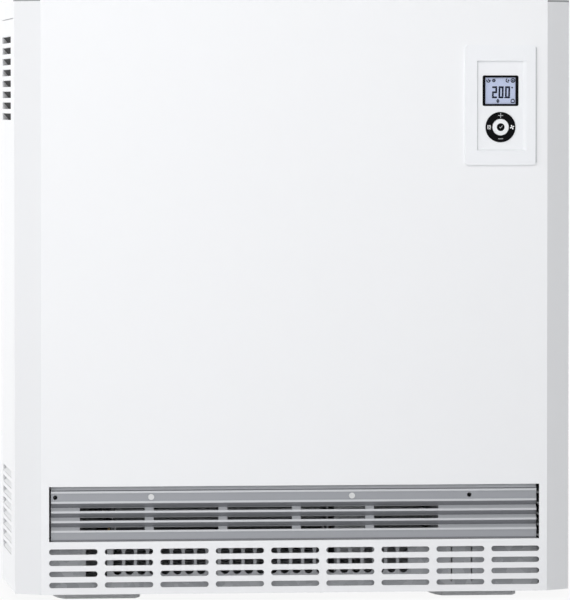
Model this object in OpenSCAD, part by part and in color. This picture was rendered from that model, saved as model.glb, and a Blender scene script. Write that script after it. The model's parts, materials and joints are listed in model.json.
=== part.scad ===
// Fan-assisted storage heater, 605 x 650 mm, standing 25 mm off the wall.
// X runs to the right, Y runs from the room to the wall, Z runs up.
// The origin is on the floor, under the middle of the whole heater.

/* [Casing] */
// Width over both side panels
casing_w = 605; // [600:1:700]
// Height from the floor to the top cover
casing_h = 650; // [648:1:740]
// Depth from the front sheet to the back of the side panels
casing_d = 247.5; // [247:0.5:300]
// Clear gap between the casing and the wall
wall_gap = 25; // [18:1:40]
// Height of the casing's lower edge above the floor
foot_lift = 8; // [5:0.5:10]
// Thickness of the casing sheet
sheet_t = 1; // [0.8:0.1:1.2]
// Depth of the flanges folded in along the sheet edges
flange_w = 12; // [8:1:14]
// Height of the top cover's skirt
skirt_h = 20; // [15:1:24]
// Radius of the screw holes along the casing
screw_hole_r = 2.1; // [2:0.05:2.4]

/* [Front panel] */
// Width of the slanted strip at each side, seen from the front
bevel_w = 27; // [20:1:32]
// Depth that the slanted strip falls back
bevel_d = 22; // [14:1:26]
// Depth of the straight return behind the slanted strip
return_d = 18; // [12:1:20]
// Depth of the fold along the top edge
top_fold = 12; // [8:1:18]
// Depth of the fold along the bottom edge
bottom_fold = 9; // [6:1:11]
// Thickness of the grey caps on the slanted strips
cap_t = 2.2; // [1.5:0.1:4]
// Depth of the plug under each grey cap
cap_plug = 8; // [4:1:15]
// Width of the outlet window
window_w = 534; // [500:1:540]
// Height of the outlet window
window_h = 59.6; // [57.4:0.2:61]
// Lower edge of the outlet window above the floor
window_z = 64.8; // [62:0.2:65.4]
// Number of intake slots in a row
slot_columns = 9; // [5:1:9]
// Number of rows of intake slots
slot_rows = 4; // [1:1:4]
// Length of an intake slot
slot_l = 52.5; // [30:0.5:56]
// Height of an intake slot
slot_h = 6; // [4:0.5:8]
// Distance from one intake slot to the next in a row
slot_pitch = 60.2; // [58:0.1:60.4]
// Distance from one row of intake slots to the next
slot_row_pitch = 12; // [10:0.5:12]
// Height of the lowest row of intake slots
slot_row_z = 18.1; // [16:0.1:19]

/* [Outlet grille] */
// Distance of the grille's ridges behind the front sheet
grille_recess = 4; // [3:0.5:6]
// Gap between the grille and the window, left and right
grille_gap = 2.5; // [1:0.25:4]
// Wall thickness of the grille, measured front to back
grille_t = 1.5; // [1.2:0.1:1.8]
// Number of grooves
groove_count = 3; // [1:1:3]
// Distance from one groove to the next
groove_pitch = 10.5; // [9:0.25:10.75]
// Depth of a groove
groove_d = 4; // [2:0.5:5]
// Height of the rounded land between two grooves
land_h = 2.1; // [1.5:0.1:2.5]
// Height of the plain band under the grooves
grille_foot_h = 8.4; // [8:0.2:10]
// Height of the plain band that holds the screws
grille_head_h = 8.7; // [8:0.1:9]
// Number of air slots along one groove
air_slot_count = 5; // [1:1:6]
// Length of an air slot
air_slot_l = 70.4; // [40:0.2:74]
// Distance from one air slot to the next
air_slot_pitch = 80; // [78:0.1:81]
// Height of an air slot
air_slot_h = 3.1; // [1.5:0.1:3.2]
// Distance of the first air slot from the grille's left end
air_slot_inset = 31.2; // [20:0.1:40]
// Depth of the grille's upper and lower flanges
grille_flange = 12; // [8:1:16]

/* [Side louvres] */
// Number of louvres in each group
louvre_count = 8; // [2:1:8]
// Distance from one louvre to the next
louvre_pitch = 12; // [10:0.5:12]
// Length of a louvre
louvre_l = 144; // [60:1:160]
// Height of a louvre's opening
louvre_h = 7.4; // [5:0.1:8]
// Distance that a louvre is pressed in
louvre_d = 6.5; // [4:0.5:9]
// Distance of the louvres behind the side panel's front edge
louvre_inset = 40; // [36:1:80]
// Height of the middle of the lowest louvre
louvre_low_z = 49; // [46:1:70]
// Distance of the topmost louvre below the casing's top
louvre_top_drop = 42.6; // [40:0.2:60]

/* [Feet and wall bracket] */
// Thickness of a foot, from the floor to the base pan
foot_h = 12; // [11:0.5:14]
// Width of a foot
foot_w = 95; // [60:1:110]
// Middle of the left foot, measured from the casing's middle
left_foot_x = -209; // [-225:1:-200]
// Middle of the right foot, measured from the casing's middle
right_foot_x = 205; // [180:1:215]
// Distance of a foot's front edge behind the front sheet
foot_setback = 42; // [30:1:50]
// Width of the slanted corner at each front end of a foot
foot_corner_w = 9; // [3:1:16]
// Depth of the slanted corner at each front end of a foot
foot_corner_d = 40; // [10:1:50]
// Distance between the two floor screws in one foot
floor_hole_spacing = 140; // [80:1:140]
// Radius of the floor screw holes
floor_hole_r = 4.5; // [3:0.5:6]
// Radius of the hole in the base pan above each floor screw
access_hole_r = 11; // [8:0.5:12]
// Width of the wall bracket
bracket_w = 300; // [200:1:400]
// Height of the wall bracket
bracket_h = 50; // [35:1:60]
// Top of the wall bracket below the casing's top
bracket_drop = 45; // [40:1:120]
// Thickness of the wall bracket
bracket_t = 2; // [1.5:0.1:3]
// Distance between the two wall screws
wall_hole_spacing = 240; // [140:1:270]
// Radius of the wall screw holes
wall_hole_r = 4; // [3:0.5:5]

/* [Storage core] */
// Width of the left brick in each layer; the right one fills the rest
brick_w = 190; // [150:1:230]
// Depth of one brick
brick_d = 150; // [140:1:150]
// Height of a brick in the lower four layers; the upper two fill the rest
brick_h = 64; // [60:0.5:68]
// Gap between bricks and to the boards around them
brick_gap = 0.5; // [0.3:0.1:1]
// Length of the air channels through a brick
channel_l = 130; // [80:1:140]
// Width of the air channels through a brick
channel_w = 14; // [8:1:16]
// Distance of the air channels from the brick's front and back
channel_inset = 12; // [8:1:16]
// Thickness of the insulation in front of the core
front_board_t = 24; // [18:0.5:26]
// Thickness of the insulation behind the core
rear_board_t = 33; // [24:0.5:36]
// Thickness of the insulation left of the core
left_board_t = 34; // [24:1:40]
// Thickness of the insulation right of the core
right_board_t = 42; // [30:1:43]
// Thickness of the insulation under the core
bottom_board_t = 30; // [20:1:32]
// Thickness of the insulation on top of the core
top_board_t = 52; // [35:1:55]
// Height of the space where the air turns over above the core
crossover_h = 12; // [6:1:16]
// Air gap between the left side panel and the inner wall
left_air_gap = 17.5; // [12:0.5:40]
// Air gap between the insulated core and the top cover
top_air_gap = 50.5; // [30:0.5:80]

/* [Heating elements] */
// Radius of the element tube
element_r = 4.25; // [3:0.25:4.5]
// Distance between the element's two legs
element_span = 60; // [40:1:64]
// Distance of the element's bend from the core's left end
element_end_gap = 14; // [10:1:40]
// Clearance of the groove around the element tube
element_clear = 1; // [0.5:0.1:1.5]
// Radius of the threaded studs at the element's ends
stud_r = 2; // [1.5:0.1:2.5]

/* [Air system] */
// Clear width of the wiring compartment
wiring_w = 126; // [120:1:130]
// Height of the underside of the core shelf
shelf_z = 126; // [125:0.5:132]
// Thickness of the core shelf
shelf_t = 2; // [1.5:0.1:2.5]
// Distance of the intake plate behind the front sheet
intake_setback = 18; // [16:0.5:24]
// Number of slots in the intake plate
intake_slot_count = 25; // [5:1:25]
// Distance from one intake plate slot to the next
intake_slot_pitch = 13; // [12:0.25:13]
// Width of an intake plate slot
intake_slot_w = 9.5; // [5:0.5:10]
// Radius of the fan wheel
fan_r = 28; // [22:0.5:29]
// Length of the fan wheel
fan_l = 232; // [150:1:240]
// Number of blades on the fan wheel
blade_count = 24; // [12:1:28]
// Radial depth of a blade
blade_d = 7; // [4:0.5:9]
// Thickness of a blade
blade_t = 0.8; // [0.6:0.1:1.2]
// Radius of the fan shaft
shaft_r = 3; // [2.5:0.1:4]
// Running clearance around the fan shaft
shaft_clear = 0.05; // [0.03:0.01:0.08]
// Radius of the motor's rotor
rotor_r = 15; // [10:0.5:17]
// Length of the damper flap, front to back
damper_l = 28; // [24:0.5:34]
// Radius of the damper's pivot
damper_pivot_r = 2.5; // [2:0.1:3]

/* [Control unit] */
// Width of the raised control frame
control_w = 78.5; // [76:0.5:84]
// Height of the raised control frame
control_h = 130; // [126:0.5:136]
// Middle of the control frame from the casing's right side
control_inset = 78.5; // [76:0.5:84]
// Middle of the control frame below the casing's top
control_drop = 114; // [110:1:150]
// Distance that the control frame stands proud of the front sheet
control_proud = 2.5; // [1.5:0.1:3]
// Corner radius of the control frame
control_corner_r = 4.5; // [2:0.5:6]
// Width of the recessed face inside the frame
face_w = 54; // [50:0.5:56]
// Height of the recessed face inside the frame
face_h = 97.5; // [90:0.5:100]
// Width of the display bezel
bezel_w = 39.2; // [36:0.2:42]
// Height of the display bezel
bezel_h = 33; // [31:0.2:36]
// Radius of the display bezel's corners
bezel_corner_r = 1.8; // [1:0.1:2.6]
// Width of the visible display
display_w = 33.3; // [28:0.1:34]
// Height of the visible display
display_h = 28.9; // [24:0.1:29]
// Middle of the display above the middle of the control frame
display_up = 15.5; // [15:0.5:20]
// Middle of the ring key below the middle of the control frame
ring_down = 24; // [22:0.2:25]
// Radius of the ring key
ring_r = 16.1; // [15:0.1:17]
// Gap around the ring key
ring_gap = 0.4; // [0.3:0.05:0.6]
// Outer radius of the collar around the centre button
collar_r = 8.8; // [8:0.1:9]
// Radius of the centre button
button_r = 7.3; // [6:0.1:7.6]
// Radius of the dark pad in the centre button
pad_r = 4.2; // [3:0.1:5]
// Travel of the centre button
button_travel = 0.8; // [0.4:0.1:1]
// Running clearance of the small pivots and of the centre button
pivot_clear = 0.06; // [0.04:0.01:0.08]

/* [Hidden] */
$fn = 48;

// Colours as the object shows them
white_paint = "whitesmoke";
galvanised = "silver";
dark_plastic = [0.06, 0.06, 0.06];
grey_plastic = "gray";
board_color = [0.86, 0.82, 0.74];
brick_color = [0.30, 0.22, 0.19];

// Clearances shared by the pieces
seam = 0.3;
panel_seam = 0.6;
over = 1;
weld = 0.2;
hole_clear = 0.1;

// Main planes of the casing
half_w = casing_w / 2;
in_x = half_w - sheet_t;
flat_x = half_w - bevel_w;
total_d = control_proud + casing_d + wall_gap;
face_y = control_proud - total_d / 2;
face_back_y = face_y + sheet_t;
bend_y = face_y + bevel_d;
return_y = bend_y + return_d;
side_y = return_y + panel_seam;
rear_y = face_y + casing_d;
wall_y = rear_y + wall_gap;
rear_in_y = rear_y - 2 * sheet_t;
skirt_z = casing_h - skirt_h;
side_top_z = skirt_z - 2.5 * seam;
base_t = 1.5;
base_top = foot_h + base_t;
base_flange_h = 15;
base_edge_x = in_x - seam;
bevel_angle = atan(bevel_d / bevel_w);
strip_top = casing_h - cap_t;
flat_bend_in = sheet_t * tan(bevel_angle / 2);
return_bend_in = sheet_t * tan((90 - bevel_angle) / 2);
floor_mid_y = 0;
screw_low_z = 120;
screw_high_z = casing_h - 110;
screw_head_r = 3.15;
screw_head_t = 1.9;
screw_cross_l = 3.6;
screw_cross_w = 0.7;
screw_cross_d = 0.8;
screw_tip = 2;
sheet_screw_l = 6;
spacer_w = 40;
spacer_z = [base_top + 60, base_top + 100];
rear_bead_x = [-half_w / 2, 0, half_w / 2];
rear_bead_half_w = 8;
rear_bead_d = 2;
rear_bead_low_z = 210;
rear_bead_drop = 40;

// Outlet window and grille
window_top = window_z + window_h;
grille_half_w = window_w / 2 - grille_gap;
ridge_y = face_y + grille_recess;
bead_d = 0.8;
grille_edge = 1.5;
groove_rise = 0.42;
grille_low_z = window_z + grille_edge;
groove_z0 = grille_low_z + grille_foot_h;
head_z = groove_z0 + groove_count * groove_pitch + land_h;
head_top = head_z + grille_head_h;
grille_top_z = window_top - seam;
grille_bow_d = 5;
grille_screw_z = (head_z + head_top) / 2;
grille_screw_x = [-156.2, 62.4];
grille_hole_x = [-grille_half_w + 4.5, 190.9];
air_slot_x0 = air_slot_inset - grille_half_w;
flange_back_y = ridge_y + grille_flange;

// Storage core and the walls around it
wall_t = 1;
part_x1 = in_x - wiring_w;
part_x0 = part_x1 - wall_t;
left_wall_x0 = left_air_gap - in_x;
left_wall_x1 = left_wall_x0 + wall_t;
board_x0 = left_wall_x1 + left_board_t;
board_x1 = part_x0 - right_board_t;
core_x0 = board_x0 + brick_gap;
core_x1 = board_x1 - brick_gap;
brick_x = [[core_x0, core_x0 + brick_w], [core_x0 + brick_w + brick_gap, core_x1]];
channel_end = (brick_w - channel_l) / 2;
core_y1 = rear_in_y - rear_board_t - brick_gap;
core_y0 = core_y1 - brick_d;
core_my = (core_y0 + core_y1) / 2;
board_y0 = core_y0 - brick_gap - front_board_t;
cover_y0 = board_y0 - wall_t;
shelf_top = shelf_z + shelf_t;
core_z0 = shelf_top + bottom_board_t + brick_gap;
box_top = casing_h - sheet_t - top_air_gap - wall_t;
top_board_z = box_top - top_board_t;
layer_pitch = brick_h + brick_gap;
lower_layers = 4;
upper_layers = 2;
upper_low_z = core_z0 + lower_layers * layer_pitch;
upper_pitch = (top_board_z - upper_low_z) / upper_layers;
front_channel_y = core_y0 + channel_inset;
rear_channel_y = core_y1 - channel_inset - channel_w;
duct_slot_x = [core_x0 + 20, core_x1 - 20];

// Heating elements and sensor
element_joint_z = [for (i = [1:3]) layer_low(2 * i) - brick_gap / 2];
element_bend_r = element_span / 2;
element_bend_x = core_x0 + element_end_gap + element_bend_r;
element_out = 26;
element_x1 = part_x1 + element_out;
stud_l = 12;
bushing_r = 8;
bushing_flange_r = 11;
bushing_flange_t = 3;
link_t = 1.5;
link_half_w = 7;
sensor_r = 1.5;
sensor_hole_r = 2.5;
sensor_z = upper_low_z - brick_gap / 2;
sensor_x0 = core_x1 - 60;
sensor_head_r = 6;
sensor_plug_x = part_x1 + 12;

// Air system
duct_floor_z = window_z - 2.8;
duct_t = 1;
tab_t = 1.5;
tab_half_w = 6;
duct_front_y = flange_back_y + seam;
duct_end_gap = 12;
duct_x0 = left_wall_x1 + shelf_t + duct_end_gap;
duct_x1 = part_x0 - shelf_t - duct_end_gap;
duct_back_y = front_channel_y + 23;
damper_y = front_channel_y + 19;
damper_z = shelf_z - 3.5;
damper_t = 1.2;
damper_end_gap = 1;
damper_pin_l = 2;
crank_l = 18;
fan_y = rear_channel_y - 33;
fan_z = 66;
scroll_gap = 3;
scroll_growth = 17;
scroll_t = 1.5;
plate_t = 2;
fan_x0 = duct_x0 + 81;
fan_end_gap = 2;
fan_x1 = fan_x0 + fan_l + 2 * fan_end_gap;
bearing_r = 8;
bearing_flange_r = 10.5;
bearing_flange_t = 2;
motor_x0 = fan_x1 + 9;
stator_l = 34;
shaft_end_l = 14;
intake_y = face_y + intake_setback;
intake_x1 = half_w - 34;
intake_slot_low_z = 27.5;
intake_slot_x0 = fan_x0 - 10;
intake_gap_x = [fan_x0 - 38, fan_x0 - 15];
intake_seam_x = [part_x0 - 1.9, part_x1 + 19.1];
intake_seam_w = 1.5;
intake_gap_low_z = base_top + 8;
intake_seam_low_z = base_top + 4;
fan_lead_y = rear_in_y - 20.5;
lead_hole_r = 5;
crank_x = [duct_x1 + 3, duct_x1 + 5];
motor_half_h = 30;
motor_end_t = 2;
coil_w = 14;
coil_half_h = 15;
coil_inset = 6;
rotor_gap = 0.5;
motor_x1 = motor_x0 + stator_l;

// Electrical pieces in the wiring compartment
block_x = [part_x1 + 50, part_x1 + 112];
block_y = [rear_in_y - 28, rear_in_y];
block_z = [130, 152];
controller_x = [part_x1 + 34, part_x1 + 112];
controller_y = [rear_in_y - 34, rear_in_y];
controller_z = [230, 340];
relay_x = [part_x1 + 50, part_x1 + 100];
relay_y = [rear_in_y - 45, rear_in_y];
relay_z = [380, 440];
clamp_r = 3;
clamp_h = 8;
clamp_screw_d = 9;
clamp_y = [block_y[0] + 10, block_y[0] + 17];
block_rib = 1;
block_rib_d = 4;
relay_groove_d = 2;
relay_groove_w = 2;
relay_groove_gap = 28;
lid_t = 2;
lid_inset = 6;
lid_drop = 50;
vent_inset = 12;
vent_h = 2;
vent_pitch = 5;
vent_low_z = controller_z[0] + 66;
wire_r = 1.8;
thin_wire_r = 1.2;
fan_wire_r = 1.5;
wire_pitch = 12;
wire_inset = 8;
relay_wire_dy = 6;
relay_wire_z = [relay_z[0] + 20, relay_z[1] - 10];
link_lead = [9, 16];
sensor_wire_x = controller_x[0] + 30;
sensor_wire_z = controller_z[0] + 30;
control_wire_z = controller_z[0] + 45;
control_wire_drop = 36;
control_wire_dx = 24;
loom_y = board_y0 + 37.5;
fan_wire_dx = 6;
fan_wire_end = 12;
fan_wire_dy = 22;
limiter_x = [part_x1, part_x1 + 34];
limiter_y = [board_y0 + 17.5, board_y0 + 49.5];
limiter_z = [150, 190];
reset_r = 3;
reset_bore_l = 8;
reset_travel = 1.5;
reset_x = (limiter_x[0] + limiter_x[1]) / 2;
reset_z = (limiter_z[0] + limiter_z[1]) / 2;
bend_swell = 1.1;

// Control unit
control_x = half_w - control_inset;
control_z = casing_h - control_drop;
face_x = control_x + 1.3;
face_z = control_z - 0.9;
face_t = 2;
face_bevel = 4;
control_front_y = face_y - control_proud;
face_inner_y = face_y + face_t;
display_z = control_z + display_up;
ring_z = control_z - ring_down;
ring_front_y = face_y - 1;
ring_t = 3;
ring_inner_r = 9.4;
pivot_y = face_y + 6;
gimbal_in_r = 11.4;
gimbal_out_r = 13.6;
gimbal_t = 2.6;
pin_r = 0.8;
pin_bore_r = pin_r + pivot_clear;
ear_in = 14.1;
ear_t = 1.6;
post_in = 14.1;
post_out = 20;
guide_in_r = button_r + pivot_clear;
board_y = face_y + 17;
board_t = 1.6;
board_half_w = 31;
pillar_inset = 4;
pillar_r = 3;
post_half_w = 3;
post_back = 2.5;
post_front = 1.8;
switch_half_w = 3;
switch_h = 3.5;
cap_depth = 3.4;
stem_r = 3;
housing_w = 68;
housing_h = 118;
board_half_h = 55;
button_front_y = ring_front_y - 0.6;
pad_t = 1;

// Box between two corners, given as the range on each axis
module slab(x, y, z) {
  translate([x[0], y[0], z[0]])
    cube([x[1] - x[0], y[1] - y[0], z[1] - z[0]]);
}

// Round bar along one axis, from the first to the second value of its range
module bar_x(x, y, z, r) {
  translate([x[0], y, z])
    rotate([0, 90, 0])
      cylinder(r = r, h = x[1] - x[0]);
}

module bar_y(x, y, z, r) {
  translate([x, y[0], z])
    rotate([-90, 0, 0])
      cylinder(r = r, h = y[1] - y[0]);
}

module bar_z(x, y, z, r) {
  translate([x, y, z[0]])
    cylinder(r = r, h = z[1] - z[0]);
}

// Profile drawn in Y and Z, run along X
module along_x(x) {
  translate([x[0], 0, 0])
    rotate([90, 0, 90])
      linear_extrude(height = x[1] - x[0])
        children();
}

// Profile drawn in X and Z, run along Y
module along_y(y) {
  translate([0, y[1], 0])
    rotate([90, 0, 0])
      linear_extrude(height = y[1] - y[0])
        children();
}

// Rounded rectangle about the origin
module round_rect(w, h, r) {
  square([w - 2 * r, h], center = true);
  square([w, h - 2 * r], center = true);
  for (sx = [-1, 1], sy = [-1, 1])
    translate([sx * (w / 2 - r), sy * (h / 2 - r)])
      circle(r = r);
}

// Slot with two round ends, about the origin
module slot_2d(w, h) {
  r = min(w, h) / 2;
  square([w > h ? w - 2 * r : w, w > h ? h : h - 2 * r], center = true);
  for (s = [-1, 1])
    translate(w > h ? [s * (w / 2 - r), 0] : [0, s * (h / 2 - r)])
      circle(r = r);
}

// Outline of the front sheet's inside or outside, seen from above
function front_outline(inset) = [
  [-half_w + inset, return_y],
  [-half_w + inset, bend_y + inset / sheet_t * return_bend_in],
  [-flat_x + inset / sheet_t * flat_bend_in, face_y + inset],
  [flat_x - inset / sheet_t * flat_bend_in, face_y + inset],
  [half_w - inset, bend_y + inset / sheet_t * return_bend_in],
  [half_w - inset, return_y]
];

module front_panel() {
  color(white_paint)
    difference() {
      union() {
        translate([0, 0, foot_lift])
          linear_extrude(height = strip_top - foot_lift)
            difference() {
              polygon(front_outline(0));
              polygon(concat(
                [[-in_x, return_y + over]], front_outline(sheet_t), [[in_x, return_y + over]]
              ));
            }
        slab([-flat_x, flat_x], [face_y, face_back_y], [strip_top - weld, casing_h]);
        slab([-flat_x, flat_x], [face_y, face_y + top_fold], [casing_h - sheet_t, casing_h]);
        slab([-flat_x, flat_x], [face_y, face_y + bottom_fold], [foot_lift, foot_lift + sheet_t]);
        window_folds();
      }
      slab([-window_w / 2, window_w / 2], [face_y - over, return_y], [window_z, window_top]);
      intake_slots();
      slab([control_x - housing_w / 2 - seam, control_x + housing_w / 2 + seam],
        [face_y - over, face_back_y + over],
        [control_z - housing_h / 2 - seam, control_z + housing_h / 2 + seam]);
    }
}

// Folds behind the upper and lower edges of the outlet window
module window_folds() {
  slab([-window_w / 2, window_w / 2], [face_y, flange_back_y], [window_top, window_top + sheet_t]);
  slab([-window_w / 2, window_w / 2], [face_y, flange_back_y], [window_z - sheet_t, window_z]);
}

module intake_slots() {
  along_y([face_y - over, face_back_y + over])
    for (column = [0 : slot_columns - 1], row = [0 : slot_rows - 1])
      translate([(column - (slot_columns - 1) / 2) * slot_pitch, slot_row_z + row * slot_row_pitch])
        slot_2d(slot_l, slot_h);
}

module corner_caps() {
  color(grey_plastic)
    for (side = [0, 1])
      mirror([side, 0, 0])
        corner_cap();
}

// Cap on the slanted strip, with a plug that reaches down behind it
module corner_cap() {
  slope = bevel_d / bevel_w;
  plug_x = flat_x + seam + 3;
  plug_out = in_x - seam;
  translate([0, 0, strip_top])
    linear_extrude(height = cap_t)
      polygon([
        [flat_x + seam, face_y + seam * slope], [half_w, bend_y],
        [half_w, return_y], [flat_x + seam, return_y]
      ]);
  translate([0, 0, strip_top - cap_plug])
    linear_extrude(height = cap_plug + weld)
      polygon([
        [plug_x, bend_y], [plug_out, bend_y + 2 * sheet_t],
        [plug_out, return_y], [plug_x, return_y]
      ]);
}

module right_side_panel() {
  color(white_paint)
    side_panel();
}

module left_side_panel() {
  color(white_paint)
    mirror([1, 0, 0])
      side_panel();
}

// Side sheet with folded edges and two groups of louvres, drawn on the right
module side_panel() {
  low_z = foot_h + base_t + base_flange_h + 2;
  louvre_y0 = side_y + louvre_inset;
  difference() {
    union() {
      slab([in_x, half_w], [side_y, rear_y], [foot_lift, side_top_z]);
      slab([half_w - flange_w, half_w], [side_y, side_y + sheet_t], [low_z, side_top_z]);
      slab([half_w - flange_w, half_w], [rear_y - sheet_t, rear_y], [low_z, side_top_z]);
      slab([half_w - flange_w, half_w], [side_y, rear_in_y], [side_top_z - sheet_t, side_top_z]);
    }
    for (z = concat(low_louvre_z(), high_louvre_z()))
      slab([in_x - over, half_w + over], [louvre_y0, louvre_y0 + louvre_l],
        [z - louvre_h / 2, z + louvre_h / 2]);
    for (z = screw_heights())
      bar_y(half_w - flange_w / 2 - sheet_t, [rear_y - sheet_t - over, rear_y + over], z, screw_hole_r);
  }
  for (z = low_louvre_z())
    louvre(z, louvre_y0, -1);
  for (z = high_louvre_z())
    louvre(z, louvre_y0, 1);
}

function low_louvre_z() = [for (i = [0 : louvre_count - 1]) louvre_low_z + i * louvre_pitch];

function high_louvre_z() = [
  for (i = [0 : louvre_count - 1]) casing_h - louvre_top_drop - i * louvre_pitch
];

function screw_heights() = [screw_low_z, (screw_low_z + screw_high_z) / 2, screw_high_z];

// Flap pressed inward from one edge of its opening, the upper edge (1) or the lower (-1);
// both ends are closed
module louvre(z, y0, edge) {
  root_z = z + edge * louvre_h / 2;
  free_z = z - edge * louvre_h / 2;
  skin = edge * sheet_t;
  root_x = in_x + weld;
  flap_x = in_x - louvre_d;
  along_y([y0 - sheet_t, y0 + louvre_l + sheet_t])
    polygon([
      [root_x, root_z + skin], [root_x, root_z], [flap_x, free_z - skin], [flap_x, free_z]
    ]);
  for (y = [y0 - sheet_t, y0 + louvre_l])
    along_y([y, y + sheet_t])
      polygon([
        [root_x, root_z + skin], [root_x, free_z], [flap_x, free_z - skin], [flap_x, free_z]
      ]);
}

module top_cover() {
  lip_y = face_y + top_fold + seam;
  low_fold = 10;
  color(white_paint)
    difference() {
      union() {
        slab([-half_w, half_w], [return_y + seam, rear_y], [casing_h - sheet_t, casing_h]);
        slab([-flat_x, flat_x], [lip_y, return_y + seam + weld], [casing_h - sheet_t, casing_h]);
        slab([-flat_x + 4, flat_x - 4], [lip_y, lip_y + sheet_t], [casing_h - flange_w, casing_h]);
        slab([-half_w, half_w], [rear_y - sheet_t, rear_y], [skirt_z, casing_h]);
        for (side = [0, 1])
          mirror([side, 0, 0]) {
            slab([in_x, half_w], [return_y + seam, rear_y], [skirt_z, casing_h]);
            slab([half_w - low_fold, half_w], [side_y, rear_y], [skirt_z, skirt_z + sheet_t]);
          }
      }
      for (x = cover_screw_x())
        bar_y(x, [rear_y - sheet_t - over, rear_y + over], skirt_z + skirt_h / 2, screw_hole_r);
    }
}

function cover_screw_x() = [-half_w + 90, half_w - 90];

// Rear sheet, lapped inside the side panels' flanges, with beads and two wall spacers
module rear_panel() {
  sheet_y = [rear_in_y, rear_in_y + sheet_t];
  edge_x = in_x - seam;
  bead_z = [rear_bead_low_z, bracket_low_z() - rear_bead_drop];
  bead_y = sheet_y[1] + rear_bead_d;
  color(galvanised)
    difference() {
      union() {
        slab([-edge_x, edge_x], sheet_y, [base_top + seam, side_top_z]);
        slab([-edge_x + 16, edge_x - 16], sheet_y, [side_top_z - weld, casing_h - sheet_t - seam]);
        for (x = rear_bead_x)
          slab([x - rear_bead_half_w, x + rear_bead_half_w], [sheet_y[1] - weld, bead_y], bead_z);
        for (x = [left_foot_x, right_foot_x])
          slab([x - spacer_w / 2, x + spacer_w / 2], [sheet_y[1] - weld, wall_y], spacer_z);
      }
      for (x = [left_foot_x, right_foot_x])
        slab([x - spacer_w / 2 + sheet_t, x + spacer_w / 2 - sheet_t],
          [rear_in_y - over, wall_y - sheet_t], [spacer_z[0] + sheet_t, spacer_z[1] - sheet_t]);
      for (x = rear_bead_x)
        slab([x - rear_bead_half_w + sheet_t, x + rear_bead_half_w - sheet_t],
          [rear_in_y - over, bead_y - sheet_t], [bead_z[0] + sheet_t, bead_z[1] - sheet_t]);
      for (side = [-1, 1], z = screw_heights())
        bar_y(side * (half_w - flange_w / 2 - sheet_t), [rear_in_y - over, sheet_y[1] + over], z,
          screw_hole_r);
      for (x = bracket_screw_x())
        bar_y(x, [rear_in_y - over, sheet_y[1] + over], bracket_screw_z(), screw_hole_r);
      for (x = cover_screw_x())
        bar_y(x, [rear_in_y - over, sheet_y[1] + over], skirt_z + skirt_h / 2, screw_hole_r);
      bar_y(cable_x(), [rear_in_y - over, sheet_y[1] + over], cable_z(), cable_hole_r());
    }
}

function cable_x() = part_x1 + 92;
function cable_z() = base_top + 72;
function cable_hole_r() = 11;
function bracket_top_z() = casing_h - bracket_drop;
function bracket_low_z() = bracket_top_z() - bracket_h;
function bracket_screw_x() = [-bracket_w / 2 + 60, bracket_w / 2 - 60];
function bracket_screw_z() = bracket_low_z() + bracket_h / 2;

module cable_grommet() {
  groove_r = cable_hole_r() - seam;
  lip_t = 3;
  sheet_y = [rear_in_y, rear_in_y + sheet_t];
  color(dark_plastic)
    difference() {
      union() {
        bar_y(cable_x(), [sheet_y[0] - lip_t, sheet_y[0]], cable_z(), cable_hole_r() + 3);
        bar_y(cable_x(), [sheet_y[0] - weld, sheet_y[1] + weld], cable_z(), groove_r);
        bar_y(cable_x(), [sheet_y[1], sheet_y[1] + lip_t], cable_z(), cable_hole_r() + 3);
      }
      bar_y(cable_x(), [sheet_y[0] - lip_t - over, sheet_y[1] + lip_t + over], cable_z(),
        cable_bore_r());
    }
}

function cable_bore_r() = 6;

module base_pan() {
  edge_y = [return_y + seam, rear_in_y - seam];
  color(galvanised)
    difference() {
      union() {
        translate([0, 0, foot_h])
          linear_extrude(height = base_t)
            polygon(concat(
              [[-base_edge_x, edge_y[1]]], front_outline(sheet_t + seam), [[base_edge_x, edge_y[1]]]
            ));
        for (side = [0, 1])
          mirror([side, 0, 0])
            slab([base_edge_x - base_t, base_edge_x], edge_y, [foot_h, base_top + base_flange_h]);
      }
      for (x = [left_foot_x, right_foot_x], y = floor_hole_y())
        bar_z(x, y, [foot_h - over, base_top + over], access_hole_r);
    }
}

function floor_hole_y() = [for (s = [-1, 1]) floor_mid_y + s * floor_hole_spacing / 2];

module left_foot() {
  foot(left_foot_x);
}

module right_foot() {
  foot(right_foot_x);
}

// Flat foot with two slanted front corners, set back under the casing
module foot(x) {
  front_y = face_y + foot_setback;
  half_foot = foot_w / 2;
  color("darkgray")
    difference() {
      linear_extrude(height = foot_h)
        polygon([
          [x - half_foot + foot_corner_w, front_y],
          [x + half_foot - foot_corner_w, front_y],
          [x + half_foot - foot_corner_w / 3, front_y + 0.4 * foot_corner_d],
          [x + half_foot, front_y + foot_corner_d],
          [x + half_foot, rear_in_y - 4],
          [x - half_foot, rear_in_y - 4],
          [x - half_foot, front_y + foot_corner_d],
          [x - half_foot + foot_corner_w / 3, front_y + 0.4 * foot_corner_d]
        ]);
      for (y = floor_hole_y())
        bar_z(x, y, [-over, foot_h + over], floor_hole_r);
    }
}

// Channel on the back of the casing, open below, with two holes to the wall
module wall_bracket() {
  x = [-bracket_w / 2, bracket_w / 2];
  z = [bracket_low_z(), bracket_top_z()];
  front_y = rear_in_y + sheet_t;
  color(galvanised)
    difference() {
      union() {
        slab(x, [wall_y - bracket_t, wall_y], z);
        slab(x, [front_y, front_y + bracket_t], z);
        slab(x, [front_y, wall_y], [z[1] - bracket_t, z[1]]);
      }
      for (s = [-1, 1])
        bar_y(s * wall_hole_spacing / 2, [wall_y - bracket_t - over, wall_y + over],
          bracket_screw_z(), wall_hole_r);
      for (x = bracket_screw_x())
        bar_y(x, [front_y - over, front_y + bracket_t + over], bracket_screw_z(), screw_hole_r);
    }
}

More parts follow.
